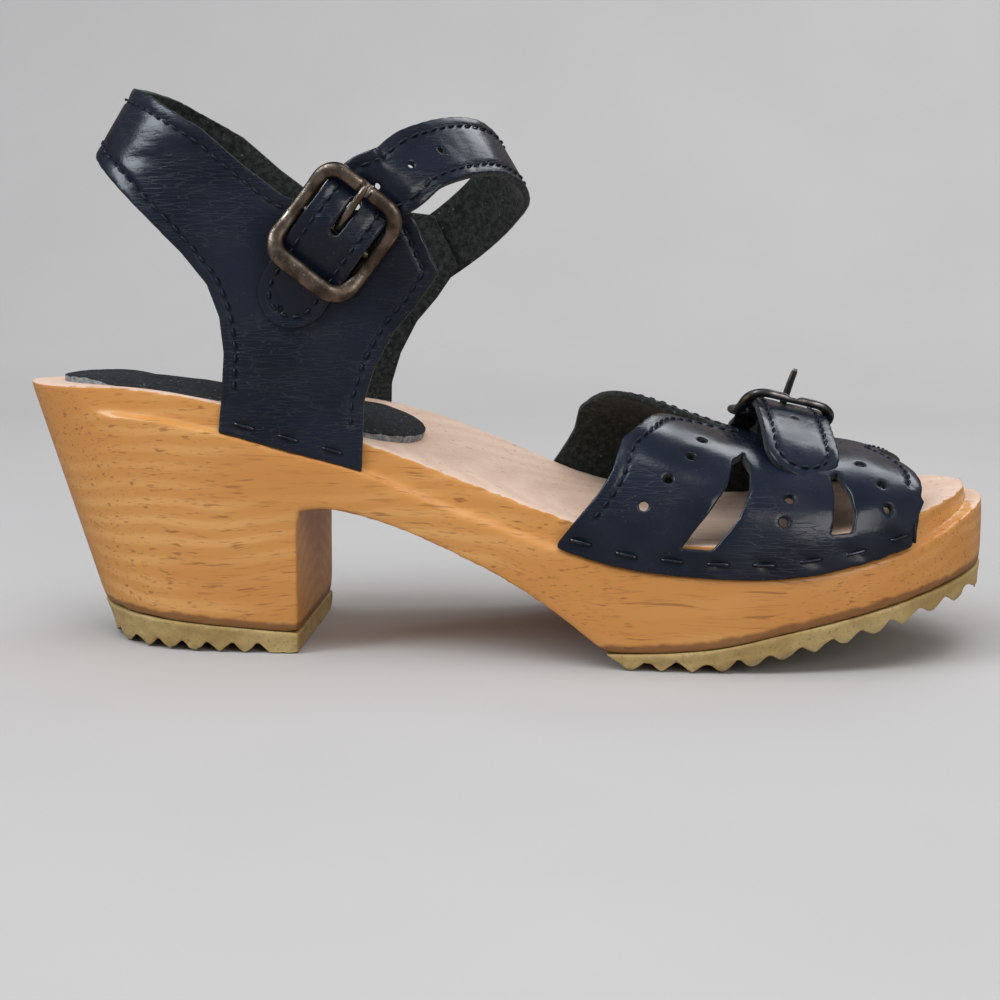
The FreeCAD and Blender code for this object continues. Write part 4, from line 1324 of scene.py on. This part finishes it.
# Ankle loop from the buckle round to the inner quarter: centre, and the way it faces
LOOP = [((-23.2, -31.2, 118.6), (0.05, -0.99, 0.1)), ((-18.6, -27.6, 122.8), (0.1, -0.94, 0.3)),
        ((-13.5, -22.2, 125.2), (0.2, -0.87, 0.42)), ((-8.8, -15.2, 126.6), (0.32, -0.8, 0.5)),
        ((-4.4, -8, 127), (0.5, -0.65, 0.57)), ((-0.6, 0, 125.8), (0.68, -0.42, 0.6)),
        ((2, 7, 123), (0.82, -0.1, 0.55)), ((1.8, 13.8, 119.6), (0.84, 0.25, 0.45)),
        ((-2.6, 21, 114.6), (0.66, 0.68, 0.32)), ((-8.2, 26.6, 109.4), (0.42, 0.88, 0.2)),
        ((-14, 29.6, 104.8), (0.2, 0.97, 0.1)), ((-20, 30.4, 100.6), (0, 1, 0.04)),
        ((-28, 30.6, 95.4), (0, 1, 0.04)), ((-36, 30.9, 90.2), (0, 1, 0.04))]
ANKLE_WIDTH, VAMP_WIDTH = 17.4, 19.0
# Vamp strap: down the outer side to its tip, and to the inner side of the sole
TIP_RUN = [(76.2, -32.4, 46.6), (76.1, -29.2, 49.6), (76, -24.5, 52.8), (75.8, -18, 55.6),
           (75.5, -10.5, 57.9)]
INNER_RUN = [(70.4, 27.5, 51.6), (70.6, 36, 46.8), (71, 43, 39.4), (71.2, 46.9, 31.5),
             (71.3, 47.6, 24.6)]


def moved(point):
    return np.array(point, float) + (0, SHIFT_Y, 0)


stations = [(ankle.at(u, 0, n), ankle.v) for u, n in TIP_LAY + WEAVE]
for k, (centre, facing) in enumerate(LOOP):
    run = np.subtract(LOOP[min(k + 1, len(LOOP) - 1)][0], LOOP[max(k - 1, 0)][0])
    stations.append((moved(centre), np.cross(facing, run) / np.linalg.norm(run)))
ankle_skin = strap_skin(stations, ANKLE_WIDTH)

stations = [(moved(p), -instep.v) for p in TIP_RUN]
stations += [(instep.at(-u, 0, n), -instep.v) for u, n in WEAVE]
stations += [(moved(p), (-1, 0, 0.12 if k < 2 else 0)) for k, p in enumerate(INNER_RUN)]
vamp_strap_skin = strap_skin(stations, VAMP_WIDTH)
print("straps are %.0f and %.0f mm long" % (ankle_skin.length, vamp_strap_skin.length))

# %% [markdown]
# Each strap has a row of round holes and, where the tongue goes through, a long one that lets it
# swing. A strap that is pulled over a bar also stands a little proud there.

# %% Strap leather and stitching
STRAP_HOLE = 1.8            # across a round hole
SLOT_LENGTH, SLOT_WIDTH = 10.6, 2.9
SLOT_AHEAD = 4.6            # from the centre bar to the middle of the long hole
CREST = 0.25                # how proud the strap stands over the bar


def make_strap(name, skin, width, buckle, node, holes, seed):
    """holes are places along the strap from the centre bar, in mm."""
    bar = float(skin.find([buckle.at(0.0, 0.0, 4.3)])[0, 0])
    slot = float(skin.find([buckle.at(SLOT_AHEAD, 0.0, 3.6)])[0, 0])
    pattern = strap_pattern(skin, width, [(slot, 0, SLOT_LENGTH, SLOT_WIDTH)]
                            + [(bar + gap, 0, STRAP_HOLE, STRAP_HOLE) for gap in holes])
    lines = strap_stitches(skin, width)

    def relief(uv, distance):
        points, _ = skin.at(uv)
        soft = 0.20 * turbulence(points, 11, seed) + 0.08 * turbulence(points, 4, seed + 2)
        crest = CREST * np.exp(-((uv[:, 0] - bar) / 2.0) ** 2)
        return soft + crest + groove(lines, uv, 0.34)

    settle_in(cut_leather(name + "_leather", skin, pattern, STRAP_THICK, relief, SPACING * 0.85),
              "root", "patent_leather", node)
    stitches(name + "_stitching", skin, lines)


make_strap("ankle_strap", ankle_skin, ANKLE_WIDTH, ankle, "ankle_strap", (-24.5, 16, 26, 36), 1.0)
make_strap("vamp_strap", vamp_strap_skin, VAMP_WIDTH, instep, "vamp_strap", (-20,), 6.0)

# %% [markdown]
# ## Buckles
# Each frame is one cast ring, arched so that its end bars stand clear of the strap, flattened on
# its face and fuller at the free end, with a notch where the tongue rests.

# %% Buckle frames
FRAME_U, RISE, CORNER = 12.15, 3.2, 4.6     # half length, rise of the end bars, corner radius
FRAME_WIDTH = 24.8          # over all, along the centre bar
RING_IN_FROM_EDGE = 1.35    # the middle of the ring's side from the frame's edge
BAR_RADIUS = 1.05           # of the centre bar
BAR_ENDS_IN = 1.6           # the end of the centre bar from the frame's edge
FREE_END = 0.2              # how much fuller the ring is at its free end
NOTCH, NOTCH_WIDTH = 1.5, 1.25


def frame_path(half_v):
    """Centre line of the ring in (u, v, n), evenly spaced."""
    outline = []
    for u_sign, v_sign, start in ((1, 1, 0), (-1, 1, 90), (-1, -1, 180), (1, -1, 270)):
        for angle in np.radians(np.linspace(start, start + 90, 12)):
            outline.append((u_sign * (FRAME_U - CORNER) + CORNER * math.cos(angle),
                            v_sign * (half_v - CORNER) + CORNER * math.sin(angle)))
    flat = smooth_line(spread(outline, 0.45, closed=True), 4, closed=True)
    return np.column_stack([flat, RISE * (flat[:, 0] / FRAME_U) ** 2])


def make_frame(name, buckle, body, node, finish, stretch, wide, thick):
    """A ring whose bar is wide by thick, with the centre bar across it."""
    path = frame_path(FRAME_WIDTH / 2 - RING_IN_FROM_EDGE) * (stretch, 1, 1)
    run = unit(np.roll(path, -1, 0) - np.roll(path, 1, 0))
    side = unit(np.cross(run, (0, 0, 1)))
    up = np.cross(side, run)
    angle = np.linspace(0, 2 * math.pi, 20, endpoint=False)
    rings = []
    for p, s, n in zip(path, side, up):
        grow = 1 + FREE_END * max(0.0, -p[0] / FRAME_U) ** 3
        notch = NOTCH * math.exp(-(p[1] / NOTCH_WIDTH) ** 2) if p[0] > 9 else 0
        c, k = np.cos(angle), np.sin(angle)
        across = wide / 2 * grow * np.sign(c) * np.abs(c) ** 0.85
        height = thick / 2 * np.sign(k) * np.abs(k) ** 0.8
        height = np.where(height > 0, np.maximum(height - notch, -0.3), height)
        rings.append(p + np.outer(across, s) + np.outer(height, n))
    ring_verts, ring_faces, _ = tube(rings, closed=True)
    reach = FRAME_WIDTH / 2 - BAR_ENDS_IN
    bar = [np.column_stack([BAR_RADIUS * np.cos(angle), np.full(len(angle), v),
                            BAR_RADIUS * np.sin(angle)]) for v in np.linspace(-reach, reach, 9)]
    bar_verts, bar_faces, caps = tube(bar)
    verts, faces = join([(ring_verts, ring_faces), (bar_verts, bar_faces + caps)])
    place = buckle.at(verts[:, 0], verts[:, 1], verts[:, 2])
    place += 0.05 * np.column_stack([turbulence(place, 3.0, k) for k in (0, 4, 8)])
    link(name, to_mesh(name, place, faces, finish), body, "antique_metal", node)
    print(name, "rides on", body)


make_frame("ankle_frame_casting", ankle, "ankle_frame", "ankle_buckle_frame", "bronze",
           stretch=1.05, wide=3.7, thick=2.8)


# %% Buckle tongues
EYE_RADIUS = 1.72           # of the wire's middle round the bar


def make_tongue(name, buckle, body, node, finish, lift):
    """A tongue bent from flattened wire: an eye round the bar, then a shaft lifted by degrees."""
    turn = np.radians(np.linspace(-150, 75, 22))
    eye = EYE_RADIUS * np.column_stack([np.cos(turn), np.sin(turn)])
    shaft = through([0, 0.45, 0.85, 1.0], [(0.6, 1.75), (6.2, 3.6), (11.6, 5.15), (13.6, 5.2)],
                    np.linspace(0, 1, 24))
    path = smooth_line(spread(np.vstack([eye, shaft[2:]]), 0.35), 6)
    path = np.column_stack([path[:, 0], np.zeros(len(path)), path[:, 1]])
    run = unit(np.gradient(path, axis=0))
    side = np.array([0.0, 1.0, 0.0])
    length = np.linspace(0, 1, len(path))
    thick = np.interp(length, (0, 0.3, 0.45, 0.9, 1), (0.5, 0.52, 0.85, 0.78, 0.45))
    wide = np.interp(length, (0, 0.3, 0.6, 0.95, 1), (1.0, 1.0, 0.98, 0.85, 0.5))
    angle = np.linspace(0, 2 * math.pi, 14, endpoint=False)
    rings = [p + np.outer(w * np.cos(angle), side) + np.outer(t * np.sin(angle), np.cross(r, side))
             for p, r, t, w in zip(path, run, thick, wide)]
    verts, faces, caps = tube(rings)
    c, s = math.cos(math.radians(lift)), math.sin(math.radians(lift))
    u, n = verts[:, 0] * c - verts[:, 2] * s, verts[:, 0] * s + verts[:, 2] * c
    place = buckle.at(u, verts[:, 1], n)
    link(name, to_mesh(name, place, faces + caps, finish), body, "antique_metal", node)
    print(name, "rides on", body)


make_tongue("ankle_tongue", ankle, "ankle_prong", "ankle_buckle_prong", "bronze", lift=0)
make_frame("vamp_frame_casting", instep, "vamp_frame", "vamp_buckle_frame", "steel",
           stretch=1.0, wide=2.9, thick=2.1)
make_tongue("vamp_tongue", instep, "vamp_prong", "vamp_buckle_prong", "steel", lift=35)

# %% Leather loops that hold the buckles
for node in ("ankle_buckle_chape", "vamp_buckle_chape"):
    nodes[node].data.materials.clear()
    nodes[node].data.materials.append(MATERIALS["suede"])
    print(node, "keeps its CAD shape")

# %% [markdown]
# ## Heel pad
# A thin worn suede pad lies on the heel seat, and its cut edge shows the pale foam. Its skin is the
# footbed itself, with a smooth curve fitted across each row so that the pad doesn't copy the wood's
# facets.

# %% Heel pad
def footbed_skin():
    """The heel seat as a skin, read off the CAD sole each millimetre."""
    xs, ys = np.arange(-126.0, -12.0, 1.0), np.arange(-34.0, 32.0, 1.0)
    rows = np.array([[height_on(sole_tree, x, y) for y in ys] for x in xs])
    for row in rows:
        good = ~np.isnan(row) & (row > np.nanmax(row) - 9)
        fit = np.polyfit(ys[good], row[good], 2) if good.sum() > 6 else (0, 0, 65)
        row[:] = np.polyval(fit, ys)
    for _ in range(12):
        rows[1:-1] = (rows[:-2] + rows[2:] + 2 * rows[1:-1]) / 4
    x, y = np.meshgrid(xs, ys, indexing="ij")
    return Skin(np.dstack([x, y, rows]), xs[0], ys[0], 1.0, 1.0)


PAD = 1.7                   # thickness
seat_skin = footbed_skin()
pad_loops = [loop[:, :2] for loop in skin_edges("heel_pad_cover", (-70, 0, 68))[:1]]


def pad_relief(uv, distance):
    points, _ = seat_skin.at(uv)
    return PAD + 0.12 * turbulence(points, 9) + 0.05 * turbulence(points, 3, 2.0)


pad = cut_leather("heel_pad", seat_skin, pad_loops, PAD, pad_relief, SPACING, 0.5)
for k, finish in enumerate(("pad", "foam")):
    pad.data.materials[k] = MATERIALS[finish]
settle_in(pad, "root", "pad_leather", "heel_pad_cover", "heel_pad_foam")
